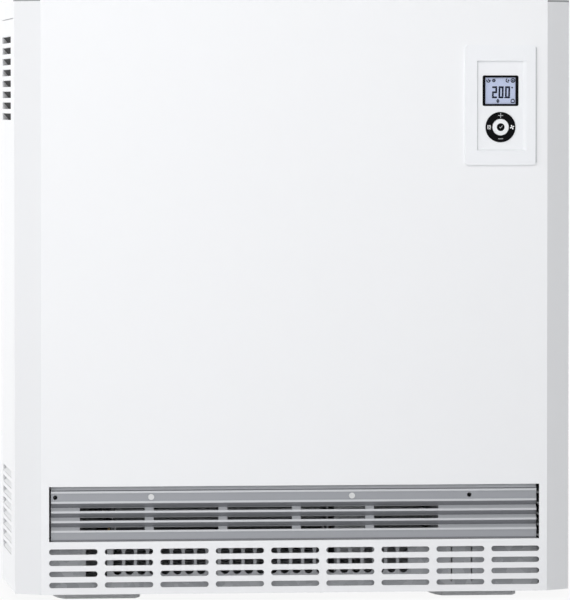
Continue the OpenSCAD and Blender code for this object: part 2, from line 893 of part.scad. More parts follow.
// Front line of the grille's wall, from its foot to its bowed top edge
function groove_low(i) = groove_z0 + i * groove_pitch;
function groove_deep(i) = groove_low(i) + land_h + groove_rise * (groove_pitch - land_h);
function grille_line() = concat(
  [[ridge_y + bead_d, grille_low_z], [ridge_y + bead_d, groove_z0]],
  [for (i = [0 : groove_count - 1], p = [0, 1, 2])
    p == 2 ? [ridge_y + groove_d, groove_deep(i)] : [ridge_y, groove_low(i) + p * land_h]],
  [[ridge_y, head_z - land_h], [ridge_y, head_z]],
  [[ridge_y + bead_d, head_z], [ridge_y + bead_d, head_top]],
  [[ridge_y, head_top], [ridge_y, head_top + land_h]],
  [[ridge_y + grille_bow_d, grille_top_z]]
);

module outlet_grille() {
  line = grille_line();
  last = len(line) - 1;
  low_z = window_z + seam;
  color("darkgray")
    difference() {
      union() {
        along_x([-grille_half_w, grille_half_w])
          polygon(concat(line, [for (i = [last : -1 : 0]) [line[i][0] + grille_t, line[i][1]]]));
        slab([-grille_half_w, grille_half_w], [ridge_y + grille_bow_d, flange_back_y],
          [grille_top_z - grille_t, grille_top_z]);
        slab([-grille_half_w, grille_half_w], [ridge_y + bead_d + grille_t / 2, flange_back_y],
          [low_z, grille_low_z + weld]);
      }
      air_slots();
      for (x = concat(grille_screw_x, grille_hole_x))
        bar_y(x, [ridge_y - over, ridge_y + bead_d + grille_t + over], grille_screw_z,
          screw_hole_r + seam);
    }
}

// Slots in the upward-facing side of each groove
module air_slots() {
  for (i = [0 : groove_count - 1], column = [0 : air_slot_count - 1])
    slab([air_slot_x0 + column * air_slot_pitch, air_slot_x0 + column * air_slot_pitch + air_slot_l],
      [ridge_y - over, ridge_y + groove_d + grille_t + over],
      [groove_deep(i) - seam - air_slot_h, groove_deep(i) - seam]);
}

// Screw with a domed head, driven along +Y or -Y from the plane of its seat
module screw_y(x, seat_y, z, direction, length) {
  shank_r = screw_hole_r - hole_clear;
  tip_y = seat_y + direction * length;
  head_y = seat_y - direction * screw_head_t;
  difference() {
    union() {
      bar_y(x, [min(seat_y, tip_y), max(seat_y, tip_y)], z, shank_r);
      bar_y(x, [min(seat_y, head_y), max(seat_y, head_y)], z, screw_head_r);
    }
    for (turn = [0, 90])
      translate([x, head_y, z])
        rotate([0, turn, 0])
          cube([screw_cross_l, 2 * screw_cross_d, screw_cross_w], center = true);
  }
}

module casing_screws() {
  color("gainsboro") {
    for (side = [-1, 1], z = screw_heights())
      screw_y(side * (half_w - flange_w / 2 - sheet_t), rear_y, z, -1, sheet_screw_l);
    for (x = cover_screw_x())
      screw_y(x, rear_y, skirt_z + skirt_h / 2, -1, sheet_screw_l);
    for (x = bracket_screw_x())
      screw_y(x, rear_in_y + sheet_t + bracket_t, bracket_screw_z(), -1, bracket_t + sheet_t);
    for (x = grille_screw_x)
      screw_y(x, ridge_y + bead_d, grille_screw_z, 1,
        grille_flange + seam + tab_t - bead_d + screw_tip);
  }
}

// Folded sheet over the front and the top of the insulated core
module inner_front_cover() {
  x = [left_wall_x0, part_x1];
  color(galvanised)
    union() {
      slab(x, [cover_y0, board_y0], [shelf_z, box_top + wall_t]);
      slab(x, [board_y0 - weld, rear_in_y - seam], [box_top, box_top + wall_t]);
    }
}

module left_inner_wall() {
  color(galvanised)
    slab([left_wall_x0, left_wall_x1], [board_y0, rear_in_y], [base_top, box_top]);
}

module partition_wall() {
  x = [part_x0 - over, part_x1 + over];
  color(galvanised)
    difference() {
      slab([part_x0, part_x1], [board_y0, rear_in_y], [base_top, box_top]);
      for (z = element_joint_z, side = [-1, 1])
        bar_x(x, core_my + side * element_bend_r, z, bushing_r + hole_clear);
      bar_x(x, core_my, sensor_z, sensor_hole_r);
      bar_x(x, fan_lead_y, fan_z, lead_hole_r);
    }
}

// Plate behind the intake slots, with round-ended slots over the fan's width
module intake_plate() {
  low_z = intake_slot_low_z;
  high_z = duct_floor_z - 5;
  mid_z = (low_z + high_z) / 2;
  color(galvanised)
    difference() {
      union() {
        slab([left_wall_x1, intake_x1], [intake_y, intake_y + sheet_t], [base_top, duct_floor_z]);
        slab([left_wall_x1, intake_x1], [intake_y, intake_y + flange_w], [base_top, base_top + sheet_t]);
      }
      along_y([intake_y - over, intake_y + sheet_t + over])
        for (i = [0 : intake_slot_count - 1])
          translate([intake_slot_x0 + (i + 0.5) * intake_slot_pitch, mid_z])
            slot_2d(intake_slot_w, high_z - low_z);
      slab(intake_gap_x, [intake_y - over, intake_y + sheet_t + over], [intake_gap_low_z, high_z]);
      for (x = intake_seam_x)
        slab([x, x + intake_seam_w], [intake_y - over, intake_y + sheet_t + over],
          [intake_seam_low_z, high_z]);
    }
}

module front_insulation() {
  color(board_color)
    slab([board_x0, board_x1], [board_y0, core_y0 - brick_gap],
      [shelf_top + bottom_board_t, top_board_z]);
}

module rear_insulation() {
  color(board_color)
    slab([board_x0, board_x1], [core_y1 + brick_gap, rear_in_y],
      [shelf_top + bottom_board_t, top_board_z]);
}

module left_insulation() {
  color(board_color)
    slab([left_wall_x1, board_x0], [board_y0, rear_in_y], [shelf_top, box_top]);
}

module right_insulation() {
  x = [board_x1 - over, part_x0 + over];
  color(board_color)
    difference() {
      slab([board_x1, part_x0], [board_y0, rear_in_y], [shelf_top, box_top]);
      for (z = element_joint_z, side = [-1, 1])
        bar_x(x, core_my + side * element_bend_r, z, element_r + element_clear);
      bar_x(x, core_my, sensor_z, sensor_hole_r);
    }
}

module top_insulation() {
  color(board_color)
    difference() {
      slab([board_x0, board_x1], [board_y0, rear_in_y], [top_board_z, box_top]);
      slab(duct_slot_x, [front_channel_y, rear_channel_y + channel_w],
        [top_board_z - over, top_board_z + crossover_h]);
    }
}

module bottom_insulation() {
  color(board_color)
    difference() {
      slab([board_x0, board_x1], [board_y0, rear_in_y], [shelf_top, shelf_top + bottom_board_t]);
      duct_slots([shelf_top - over, shelf_top + bottom_board_t + over]);
    }
}

// Two openings through the shelf and the lower board, under the core's air channels
module duct_slots(z) {
  for (y = [front_channel_y, rear_channel_y])
    slab(duct_slot_x, [y, y + channel_w], z);
}

// Plate that carries the core, on folded cheeks that stand on the base pan
module core_shelf() {
  x = [left_wall_x1, part_x0];
  y = [board_y0, rear_in_y];
  color(galvanised)
    difference() {
      union() {
        slab(x, y, [shelf_z, shelf_top]);
        slab([x[0], x[0] + shelf_t], y, [base_top, shelf_z + weld]);
        slab([x[1] - shelf_t, x[1]], y, [base_top, shelf_z + weld]);
        slab(x, [y[1] - shelf_t, y[1]], [shelf_z - 20, shelf_z + weld]);
      }
      duct_slots([shelf_z - over, shelf_top + over]);
      bar_x([x[1] - shelf_t - over, x[1] + over], fan_lead_y, fan_z, lead_hole_r);
    }
}

// Underside of a layer, counted from 1
function layer_low(n) = n <= lower_layers
  ? core_z0 + (n - 1) * layer_pitch
  : upper_low_z + (n - 1 - lower_layers) * upper_pitch;

// One layer of two bricks, with air channels and half of each groove it shares
module brick_layer(n) {
  z = [layer_low(n), layer_low(n + 1) - brick_gap];
  color(brick_color)
    difference() {
      for (x = brick_x)
        difference() {
          slab(x, [core_y0, core_y1], z);
          for (y = [front_channel_y, rear_channel_y])
            slab([x[0] + channel_end, x[1] - channel_end], [y, y + channel_w],
              [z[0] - over, z[1] + over]);
        }
      element_path(element_joint_z[ceil(n / 2) - 1], element_r + element_clear, core_x1 + over);
      if (n == 4 || n == 5)
        bar_x([sensor_x0 - over, core_x1 + over], core_my, sensor_z, sensor_hole_r);
    }
}

module brick_layer_1() { brick_layer(1); }
module brick_layer_2() { brick_layer(2); }
module brick_layer_3() { brick_layer(3); }
module brick_layer_4() { brick_layer(4); }
module brick_layer_5() { brick_layer(5); }
module brick_layer_6() { brick_layer(6); }

// Round bar of a hairpin element: two legs along X and a half-round bend
module element_path(z, r, x1) {
  for (side = [-1, 1])
    bar_x([element_bend_x, x1], core_my + side * element_bend_r, z, r);
  translate([element_bend_x, core_my, z])
    rotate([0, 0, 90])
      rotate_extrude(angle = 180)
        translate([element_bend_r, 0])
          circle(r = r);
}

module heating_element(n) {
  z = element_joint_z[n - 1];
  color("dimgray")
    union() {
      element_path(z, element_r, element_x1);
      for (side = [-1, 1])
        bar_x([element_x1 - over, element_x1 + stud_l], core_my + side * element_bend_r, z, stud_r);
    }
}

module heating_element_1() { heating_element(1); }
module heating_element_2() { heating_element(2); }
module heating_element_3() { heating_element(3); }

// Ceramic bushings that carry the elements in the partition wall
module element_bushings() {
  flange_x = part_x1 + bushing_flange_t;
  color("ivory")
    for (z = element_joint_z, side = [-1, 1])
      difference() {
        union() {
          bar_x([part_x0, flange_x], core_my + side * element_bend_r, z, bushing_r);
          bar_x([part_x1, flange_x], core_my + side * element_bend_r, z, bushing_flange_r);
        }
        bar_x([part_x0 - over, flange_x + over], core_my + side * element_bend_r, z,
          element_r + hole_clear);
      }
}

// Two bus bars across the element studs, with a nut on each stud
module element_links() {
  nut_r = 4;
  nut_t = 3;
  face_x1 = element_x1 + link_t;
  z = [element_joint_z[0] - 10, element_joint_z[2] + 10];
  color("goldenrod")
    for (side = [-1, 1]) {
      leg_y = core_my + side * element_bend_r;
      difference() {
        slab([element_x1, face_x1], [leg_y - link_half_w, leg_y + link_half_w], z);
        for (stud_z = element_joint_z)
          bar_x([element_x1 - over, face_x1 + over], leg_y, stud_z, stud_r + hole_clear);
      }
      for (stud_z = element_joint_z)
        difference() {
          translate([face_x1, leg_y, stud_z])
            rotate([0, 90, 0])
              cylinder(r = nut_r, h = nut_t, $fn = 6);
          bar_x([face_x1 - over, face_x1 + nut_t + over], leg_y, stud_z, stud_r + hole_clear);
        }
    }
}

module terminal_block() {
  ways = 5;
  pitch = (block_x[1] - block_x[0]) / ways;
  mid_z = (block_z[0] + block_z[1]) / 2;
  color("lightgray")
    difference() {
      slab(block_x, block_y, block_z);
      for (i = [0 : ways - 1]) {
        x = block_x[0] + (i + 0.5) * pitch;
        bar_y(x, [block_y[0] - over, block_y[0] + clamp_screw_d], mid_z, clamp_r);
        slab([x - clamp_r, x + clamp_r], clamp_y, [block_z[0] - over, block_z[0] + clamp_h]);
      }
      for (i = [1 : ways - 1])
        slab([block_x[0] + i * pitch - block_rib / 2, block_x[0] + i * pitch + block_rib / 2],
          [block_y[0] - over, block_y[0] + block_rib_d], [block_z[0] - over, block_z[1] + over]);
    }
}

module charge_controller() {
  vent_count = 7;
  color("gainsboro")
    difference() {
      union() {
        slab(controller_x, controller_y, controller_z);
        slab([controller_x[0] + lid_inset, controller_x[1] - lid_inset],
          [controller_y[0] - lid_t, controller_y[0] + weld],
          [controller_z[1] - lid_drop, controller_z[1] - lid_inset]);
      }
      for (i = [0 : vent_count - 1])
        slab([controller_x[0] + vent_inset, controller_x[1] - vent_inset],
          [controller_y[0] - lid_t - over, controller_y[0]],
          [vent_low_z + i * vent_pitch, vent_low_z + i * vent_pitch + vent_h]);
    }
}

module thermal_relay() {
  mid_z = (relay_z[0] + relay_z[1]) / 2;
  color("dimgray")
    difference() {
      slab(relay_x, relay_y, relay_z);
      for (side = [-1, 1])
        translate([0, 0, mid_z + side * relay_groove_gap / 2])
          slab([relay_x[0] - over, relay_x[1] + over],
            [relay_y[0] - over, relay_y[0] + relay_groove_d],
            [-relay_groove_w / 2, relay_groove_w / 2]);
    }
}

// Thermal cut-out beside the partition, with a bore for its reset button
module safety_limiter() {
  color("lightgray")
    difference() {
      slab(limiter_x, limiter_y, limiter_z);
      bar_y(reset_x, [limiter_y[0] - over, limiter_y[0] + reset_bore_l], reset_z,
        reset_r + pivot_clear);
    }
}

module reset_button() {
  color("red")
    bar_y(reset_x, [limiter_y[0] - 4, limiter_y[0] + reset_bore_l - reset_travel - 0.5],
      reset_z, reset_r);
}

// Probe that reaches into the joint between two brick layers
module core_sensor() {
  color("silver")
    union() {
      bar_x([sensor_x0, part_x1 + over], core_my, sensor_z, sensor_r);
      bar_x([part_x1, part_x1 + 3], core_my, sensor_z, sensor_head_r);
      bar_x([part_x1 + 2, sensor_plug_x], core_my, sensor_z, 3);
    }
}

// Wire along straight runs, with a slightly fuller round bend at each corner
module wire(path, r) {
  for (i = [0 : len(path) - 2]) {
    step = path[i + 1] - path[i];
    tilt = acos(step[2] / norm(step));
    turn = atan2(step[1], step[0]);
    translate(path[i])
      rotate([0, tilt, turn])
        cylinder(r = r, h = norm(step));
  }
  for (i = [1 : 1 : len(path) - 2])
    translate(path[i])
      sphere(r = r * bend_swell);
}

module wiring_loom() {
  link_x = element_x1 + link_t;
  block_mid_y = (block_y[0] + block_y[1]) / 2;
  relay_mid_y = (relay_y[0] + relay_y[1]) / 2;
  front_leg_y = core_my - element_bend_r;
  rear_leg_y = core_my + element_bend_r;
  board_back_y = board_y + board_t;
  motor_end_y = fan_y + fan_wire_dy;
  fan_wire_x = controller_x[0] + fan_wire_dx;
  control_wire_x = control_x + control_wire_dx;
  control_low_z = control_z - control_wire_drop;
  color("saddlebrown") {
    for (i = [0 : 2])
      wire([
        [block_x[0] + wire_inset + i * wire_pitch, block_mid_y, block_z[1]],
        [block_x[0] + wire_inset + i * wire_pitch, block_mid_y, controller_z[0]]
      ], wire_r);
    for (x = [relay_x[0] + wire_pitch, relay_x[1] - wire_pitch])
      wire([
        [x, relay_mid_y + relay_wire_dy, controller_z[1]],
        [x, relay_mid_y + relay_wire_dy, relay_z[0]]
      ], wire_r);
    for (i = [0, 1]) {
      x = link_x + link_lead[i];
      leg_y = i == 0 ? rear_leg_y : front_leg_y;
      wire([
        [relay_x[0], relay_mid_y, relay_wire_z[i]], [x, relay_mid_y, relay_wire_z[i]],
        [x, leg_y, relay_wire_z[i]], [link_x, leg_y, relay_wire_z[i]]
      ], wire_r);
    }
    wire([
      [sensor_plug_x, core_my, sensor_z], [sensor_wire_x, core_my, sensor_z],
      [sensor_wire_x, core_my, sensor_wire_z], [sensor_wire_x, controller_y[0], sensor_wire_z]
    ], thin_wire_r);
    wire([
      [control_wire_x, board_back_y, control_low_z], [control_wire_x, loom_y, control_low_z],
      [control_wire_x, loom_y, control_wire_z], [control_wire_x, controller_y[0], control_wire_z]
    ], thin_wire_r);
    wire([
      [fan_wire_x, fan_lead_y, controller_z[0]], [fan_wire_x, fan_lead_y, fan_z],
      [motor_x1 + fan_wire_end, fan_lead_y, fan_z], [motor_x1 + fan_wire_end, motor_end_y, fan_z],
      [motor_x1, motor_end_y, fan_z]
    ], fan_wire_r);
  }
}

// Channel from the mixing space to the outlet grille, with the damper's bearings
module outlet_duct() {
  x = [duct_x0, duct_x1];
  y = [duct_front_y, duct_back_y];
  color(galvanised)
    difference() {
      union() {
        slab(x, y, [duct_floor_z, duct_floor_z + duct_t]);
        slab([x[0], x[0] + duct_t], y, [duct_floor_z, shelf_z]);
        slab([x[1] - duct_t, x[1]], y, [duct_floor_z, shelf_z]);
        slab(x, [y[0], board_y0], [shelf_z - duct_t, shelf_z]);
        for (tab_x = grille_screw_x)
          slab([tab_x - tab_half_w, tab_x + tab_half_w], [y[0], y[0] + tab_t],
            [grille_screw_z - tab_half_w, shelf_z]);
      }
      bar_x([x[0] - over, x[1] + over], damper_y, damper_z, damper_pivot_r + shaft_clear);
      for (tab_x = grille_screw_x)
        bar_y(tab_x, [y[0] - over, y[0] + tab_t + over], grille_screw_z, screw_hole_r);
    }
}

// Flap under the front air opening, with its pivot and crank
module mixing_damper() {
  flap_x = [duct_x0 + duct_t + damper_end_gap, duct_x1 - duct_t - damper_end_gap];
  flap_z = damper_z + damper_pivot_r - damper_t - 0.2;
  color(galvanised)
    union() {
      bar_x([duct_x0 - damper_pin_l, crank_x[1]], damper_y, damper_z, damper_pivot_r);
      slab(flap_x, [damper_y - damper_l, damper_y], [flap_z, flap_z + damper_t]);
      slab(crank_x, [damper_y - damper_pivot_r, damper_y + damper_pivot_r],
        [damper_z - crank_l, damper_z]);
    }
}

// Bimetal strip that stands against the front of the damper's crank
module damper_bimetal() {
  strip_t = 0.8;
  strip_y1 = damper_y - damper_pivot_r - seam;
  low_z = damper_z - crank_l - 14;
  color("goldenrod")
    union() {
      slab([duct_x1 + 1, crank_x[1] + 1], [strip_y1 - strip_t, strip_y1], [low_z, damper_z - 6]);
      slab([duct_x1, crank_x[1] + 1], [strip_y1 - 8, strip_y1], [low_z - 1, low_z + weld]);
    }
}

// Scroll of the fan, from under the wheel to the opening behind it
function scroll_r(a) = fan_r + scroll_gap + scroll_growth * (a + 100) / 100;
function scroll_point(a, extra) = [
  fan_y + (scroll_r(a) + extra) * cos(a), fan_z + (scroll_r(a) + extra) * sin(a)
];

module fan_housing() {
  angles = [for (a = [-100 : 10 : 0]) a];
  rear_wall_y = fan_y + scroll_r(0);
  tip = [fan_y + (fan_r + scroll_gap) * cos(60), fan_z + (fan_r + scroll_gap) * sin(60)];
  tongue_top_y = rear_channel_y - over;
  plate_y = [fan_y - fan_r - 6, rear_wall_y + scroll_t];
  color(galvanised)
    difference() {
      union() {
        along_x([fan_x0 - weld, fan_x1 + weld]) {
          polygon(concat(
            [for (a = angles) scroll_point(a, 0)], [[rear_wall_y, shelf_z]],
            [[rear_wall_y + scroll_t, shelf_z]],
            [for (i = [len(angles) - 1 : -1 : 0]) scroll_point(angles[i], scroll_t)]
          ));
          polygon([
            tip, [tongue_top_y, shelf_z], [tongue_top_y - scroll_t, shelf_z],
            [tip[0] - scroll_t, tip[1] + scroll_t]
          ]);
        }
        for (x = [fan_x0 - plate_t, fan_x1])
          slab([x, x + plate_t], plate_y, [base_top, shelf_z]);
      }
      bar_x([fan_x0 - plate_t - over, fan_x1 + plate_t + over], fan_y, fan_z,
        bearing_r + hole_clear);
    }
}

// Crossflow wheel: three discs and a ring of blades
module impeller() {
  x0 = fan_x0 + fan_end_gap;
  disc_t = 1.5;
  blade_mid_r = fan_r - blade_d / 2 - 1;
  color("dimgray")
    difference() {
      union() {
        for (share = [0, 0.5, 1])
          bar_x([x0 + share * (fan_l - disc_t), x0 + share * (fan_l - disc_t) + disc_t],
            fan_y, fan_z, fan_r);
        along_x([x0 + disc_t / 2, x0 + fan_l - disc_t / 2])
          translate([fan_y, fan_z])
            for (i = [0 : blade_count - 1])
              rotate(i * 360 / blade_count)
                translate([blade_mid_r, 0])
                  rotate(-35)
                    square([blade_d, blade_t], center = true);
      }
      bar_x([x0 - over, x0 + fan_l + over], fan_y, fan_z, shaft_r + shaft_clear);
    }
}

module impeller_shaft() {
  color("silver")
    union() {
      bar_x([fan_x0 - plate_t - shaft_end_l, motor_x1 + 6], fan_y, fan_z, shaft_r);
      bar_x([motor_x0 + 5, motor_x1 - 5], fan_y, fan_z, rotor_r);
    }
}

module fan_bearings() {
  color("goldenrod")
    for (side = [-1, 1]) {
      face_x = side < 0 ? fan_x0 : fan_x1;
      out_x = face_x + side * plate_t;
      end_x = out_x + side * bearing_flange_t;
      difference() {
        union() {
          bar_x([min(face_x, end_x), max(face_x, end_x)], fan_y, fan_z, bearing_r);
          bar_x([min(out_x, end_x), max(out_x, end_x)], fan_y, fan_z, bearing_flange_r);
        }
        bar_x([min(face_x, end_x) - over, max(face_x, end_x) + over], fan_y, fan_z,
          shaft_r + shaft_clear);
      }
    }
}

// Motor beside the fan: stator, coil and two end plates that stand on the base pan
module fan_motor() {
  y = [fan_y - motor_half_h, fan_y + motor_half_h];
  z = [fan_z - motor_half_h, fan_z + motor_half_h];
  color("slategray")
    difference() {
      union() {
        for (x = [motor_x0, motor_x1 - motor_end_t])
          slab([x, x + motor_end_t], y, [base_top, z[1]]);
        slab([motor_x0 + 1, motor_x1 - 1], y, z);
        slab([motor_x0 + coil_inset, motor_x1 - coil_inset], [y[1] - weld, y[1] + coil_w],
          [fan_z - coil_half_h, fan_z + coil_half_h]);
      }
      bar_x([motor_x0 + motor_end_t, motor_x1 - motor_end_t], fan_y, fan_z, rotor_r + rotor_gap);
      bar_x([motor_x0 - over, motor_x1 + over], fan_y, fan_z, shaft_r + shaft_clear);
    }
}

// White frame around the controls, with a recessed face and the rocker's posts
module control_frame() {
  color(white_paint)
    difference() {
      union() {
        along_y([control_front_y, face_y])
          translate([control_x, control_z])
            round_rect(control_w, control_h, control_corner_r);
        slab([control_x - housing_w / 2, control_x + housing_w / 2], [face_y - weld, face_inner_y],
          [control_z - housing_h / 2, control_z + housing_h / 2]);
        for (sx = [-1, 1], sz = [-1, 1])
          bar_y(control_x + sx * (board_half_w - pillar_inset), [face_inner_y - weld, board_y],
            control_z + sz * (board_half_h - pillar_inset), pillar_r);
        for (side = [-1, 1])
          gimbal_post(side);
      }
      face_pocket();
      along_y([face_y - over, face_inner_y + over])
        translate([control_x, display_z])
          round_rect(bezel_w + 2 * hole_clear, bezel_h + 2 * hole_clear, bezel_corner_r + hole_clear);
      bar_y(control_x, [face_y - over, face_inner_y], ring_z, ring_r + ring_gap);
      bar_x([control_x - post_out - over, control_x + post_out + over], pivot_y, ring_z, pin_bore_r);
    }
}

// Pocket in the frame; its right and lower walls slant
module face_pocket() {
  x = [face_x - face_w / 2, face_x + face_w / 2];
  z = [face_z - face_h / 2, face_z + face_h / 2];
  front = control_front_y;
  intersection() {
    translate([0, 0, z[0]])
      linear_extrude(height = face_h)
        polygon([
          [x[0], face_y], [x[1] - face_bevel, face_y], [x[1], front],
          [x[1], front - over], [x[0], front - over]
        ]);
    along_x([x[0] - over, x[1] + over])
      polygon([
        [face_y, z[0] + face_bevel / 2], [face_y, z[1]], [front - over, z[1]],
        [front - over, z[0]], [front, z[0]]
      ]);
  }
}

// Post behind the face with a boss that carries one pin of the gimbal
module gimbal_post(side) {
  foot_in = ring_r + 2 * ring_gap;
  x_post = [control_x + side * foot_in, control_x + side * post_out];
  x_boss = [control_x + side * post_in, control_x + side * post_out];
  z = [ring_z - post_half_w, ring_z + post_half_w];
  slab([min(x_post), max(x_post)], [face_inner_y - weld, pivot_y + post_back], z);
  slab([min(x_boss), max(x_boss)], [pivot_y - post_front, pivot_y + post_back], z);
}

module display_bezel() {
  lip = 1.5;
  color(dark_plastic)
    difference() {
      union() {
        along_y([face_y - seam, face_inner_y + weld])
          translate([control_x, display_z])
            round_rect(bezel_w, bezel_h, bezel_corner_r);
        along_y([face_inner_y, face_inner_y + lip])
          translate([control_x, display_z])
            square([bezel_w + 2 * lip, bezel_h + 2 * lip], center = true);
      }
      along_y([face_y - over, face_inner_y + lip + over])
        translate([control_x, display_z])
          square([display_w, display_h], center = true);
    }
}

module display_window() {
  color([0.8, 0.9, 0.95, 0.4])
    along_y([face_y + 0.2, face_y + 1.2])
      translate([control_x, display_z])
        square([display_w - 2 * hole_clear, display_h - 2 * hole_clear], center = true);
}

// Display glass on its light box, which stands on the control board
module lcd_module() {
  color([0.72, 0.77, 0.89])
    union() {
      along_y([face_y + 1.4, face_inner_y + 4])
        translate([control_x, display_z])
          square([display_w - 4 * hole_clear, display_h - 4 * hole_clear], center = true);
      along_y([face_inner_y + 2, board_y])
        translate([control_x, display_z])
          square([display_w + 2, display_h], center = true);
    }
}

module control_board() {
  color("darkgreen")
    union() {
      slab([control_x - board_half_w, control_x + board_half_w], [board_y, board_y + board_t],
        [control_z - board_half_h, control_z + board_half_h]);
      slab([control_x - switch_half_w, control_x + switch_half_w],
        [board_y - switch_h, board_y + weld], [ring_z - switch_half_w, ring_z + switch_half_w]);
      for (turn = [0 : 90 : 270])
        translate([control_x, 0, ring_z])
          rotate([0, turn, 0])
            slab([collar_r + 0.4, collar_r + 3.4], [board_y - switch_h, board_y + weld], [-1.5, 1.5]);
    }
}

// Ring between the fixed posts and the ring key; it tips about X
module rocker_gimbal() {
  y = [pivot_y - gimbal_t / 2, pivot_y + gimbal_t / 2];
  color("dimgray")
    difference() {
      union() {
        bar_y(control_x, y, ring_z, gimbal_out_r);
        bar_x([control_x - gimbal_out_r - 3, control_x + gimbal_out_r + 3], pivot_y, ring_z, pin_r);
      }
      bar_y(control_x, [y[0] - over, y[1] + over], ring_z, gimbal_in_r);
      bar_z(control_x, pivot_y, [ring_z - gimbal_out_r - over, ring_z + gimbal_out_r + over],
        pin_bore_r);
    }
}

// Four-way ring key on two ears; it tips about Z in the gimbal
module ring_rocker() {
  y = [ring_front_y, ring_front_y + ring_t];
  plunger_r = 0.75;
  plunger_at = 10.25;
  color(dark_plastic)
    union() {
      difference() {
        bar_y(control_x, y, ring_z, ring_r);
        bar_y(control_x, [y[0] - over, y[1] + over], ring_z, ring_inner_r);
      }
      for (side = [-1, 1]) {
        ear_z = [ring_z + side * ear_in, ring_z + side * (ear_in + ear_t)];
        pin_z = [ring_z + side * (gimbal_in_r + 0.5), ring_z + side * (ear_in + 0.5)];
        slab([control_x - 2, control_x + 2], [y[1] - weld, pivot_y + 1.6], [min(ear_z), max(ear_z)]);
        bar_z(control_x, pivot_y, [min(pin_z), max(pin_z)], pin_r);
      }
      for (turn = [0 : 90 : 270])
        translate([control_x, 0, ring_z])
          rotate([0, turn, 0])
            bar_y(plunger_at, [y[1] - weld, board_y - switch_h - 0.75], 0, plunger_r);
    }
}

module button_guide() {
  y = [ring_front_y - 0.2, board_y];
  color(white_paint)
    difference() {
      bar_y(control_x, y, ring_z, collar_r);
      bar_y(control_x, [y[0] - over, y[1] + over], ring_z, guide_in_r);
    }
}

module center_button() {
  stem_end_y = board_y - switch_h - button_travel - 0.1;
  color(white_paint)
    difference() {
      union() {
        bar_y(control_x, [button_front_y, button_front_y + cap_depth], ring_z, button_r);
        bar_y(control_x, [button_front_y + 1.5, stem_end_y], ring_z, stem_r);
      }
      bar_y(control_x, [button_front_y - over, button_front_y + pad_t], ring_z, pad_r + hole_clear);
    }
}

module button_pad() {
  color(dark_plastic)
    bar_y(control_x, [button_front_y - 0.1, button_front_y + pad_t], ring_z, pad_r);
}

front_panel();
corner_caps();
left_side_panel();
right_side_panel();
top_cover();
rear_panel();
base_pan();
left_foot();
right_foot();
wall_bracket();
cable_grommet();
outlet_grille();
casing_screws();
inner_front_cover();
intake_plate();
front_insulation();
rear_insulation();
left_insulation();
right_insulation();
top_insulation();
bottom_insulation();
core_shelf();
brick_layer_1();
brick_layer_2();
brick_layer_3();
brick_layer_4();
brick_layer_5();
brick_layer_6();
heating_element_1();
heating_element_2();
heating_element_3();
element_bushings();
element_links();
left_inner_wall();
partition_wall();
terminal_block();
charge_controller();
thermal_relay();
safety_limiter();
reset_button();
core_sensor();
wiring_loom();
outlet_duct();
fan_housing();
impeller();
impeller_shaft();
fan_bearings();
fan_motor();
mixing_damper();
damper_bimetal();
control_frame();
display_bezel();
display_window();
lcd_module();
control_board();
rocker_gimbal();
ring_rocker();
center_button();
button_pad();
button_guide();
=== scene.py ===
import json
import math

import bmesh
import bpy
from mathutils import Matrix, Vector


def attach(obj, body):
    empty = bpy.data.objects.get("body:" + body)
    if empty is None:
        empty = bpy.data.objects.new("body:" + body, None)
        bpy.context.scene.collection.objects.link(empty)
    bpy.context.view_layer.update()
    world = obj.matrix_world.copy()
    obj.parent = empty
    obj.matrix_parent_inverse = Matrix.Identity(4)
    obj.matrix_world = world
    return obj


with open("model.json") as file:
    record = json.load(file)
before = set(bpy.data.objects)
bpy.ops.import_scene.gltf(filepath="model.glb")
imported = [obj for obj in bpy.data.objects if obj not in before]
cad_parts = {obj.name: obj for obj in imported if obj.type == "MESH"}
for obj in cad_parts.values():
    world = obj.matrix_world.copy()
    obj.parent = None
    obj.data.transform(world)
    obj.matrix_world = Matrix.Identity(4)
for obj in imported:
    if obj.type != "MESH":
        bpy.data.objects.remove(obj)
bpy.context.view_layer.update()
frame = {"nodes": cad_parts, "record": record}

# Fan-assisted storage heater: finishes, symbols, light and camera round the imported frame.
# Pieces are given in millimetres, and mm turns them into metres. Masks, lamps and the view are given in metres.
mm = 0.001
nodes = frame["nodes"]
scene = bpy.context.scene
print("frame loaded:", len(nodes), "nodes")


# Fills a node's inputs: a value goes into the socket, and another node's output is linked to it
def feed(tree, node, values):
    for label, value in values.items():
        if isinstance(value, bpy.types.NodeSocket):
            tree.links.new(value, node.inputs[label])
        else:
            node.inputs[label].default_value = value


def addNode(tree, kind, values=None, **settings):
    node = tree.nodes.new(kind)
    for key, value in settings.items():
        setattr(node, key, value)
    feed(tree, node, values or {})
    return node


def mathOf(tree, operation, first, second=0.0):
    return addNode(tree, "ShaderNodeMath", {0: first, 1: second}, operation=operation).outputs[0]


def mixOf(tree, mask, low, high):
    return addNode(tree, "ShaderNodeMix", {0: mask, 6: low, 7: high}, data_type="RGBA").outputs[2]


def axesOf(tree, vector):
    return addNode(tree, "ShaderNodeSeparateXYZ", {0: vector}).outputs


def newGroup(name, inputs, outputs):
    group = bpy.data.node_groups.new(name, "ShaderNodeTree")
    for label, kind, value in inputs:
        socket = group.interface.new_socket(name=label, in_out="INPUT", socket_type=kind)
        if value is not None:
            socket.default_value = value
    for label, kind in outputs:
        group.interface.new_socket(name=label, in_out="OUTPUT", socket_type=kind)
    return group, group.nodes.new("NodeGroupInput").outputs, group.nodes.new("NodeGroupOutput")


floatKind, colorKind, vectorKind = "NodeSocketFloat", "NodeSocketColor", "NodeSocketVector"


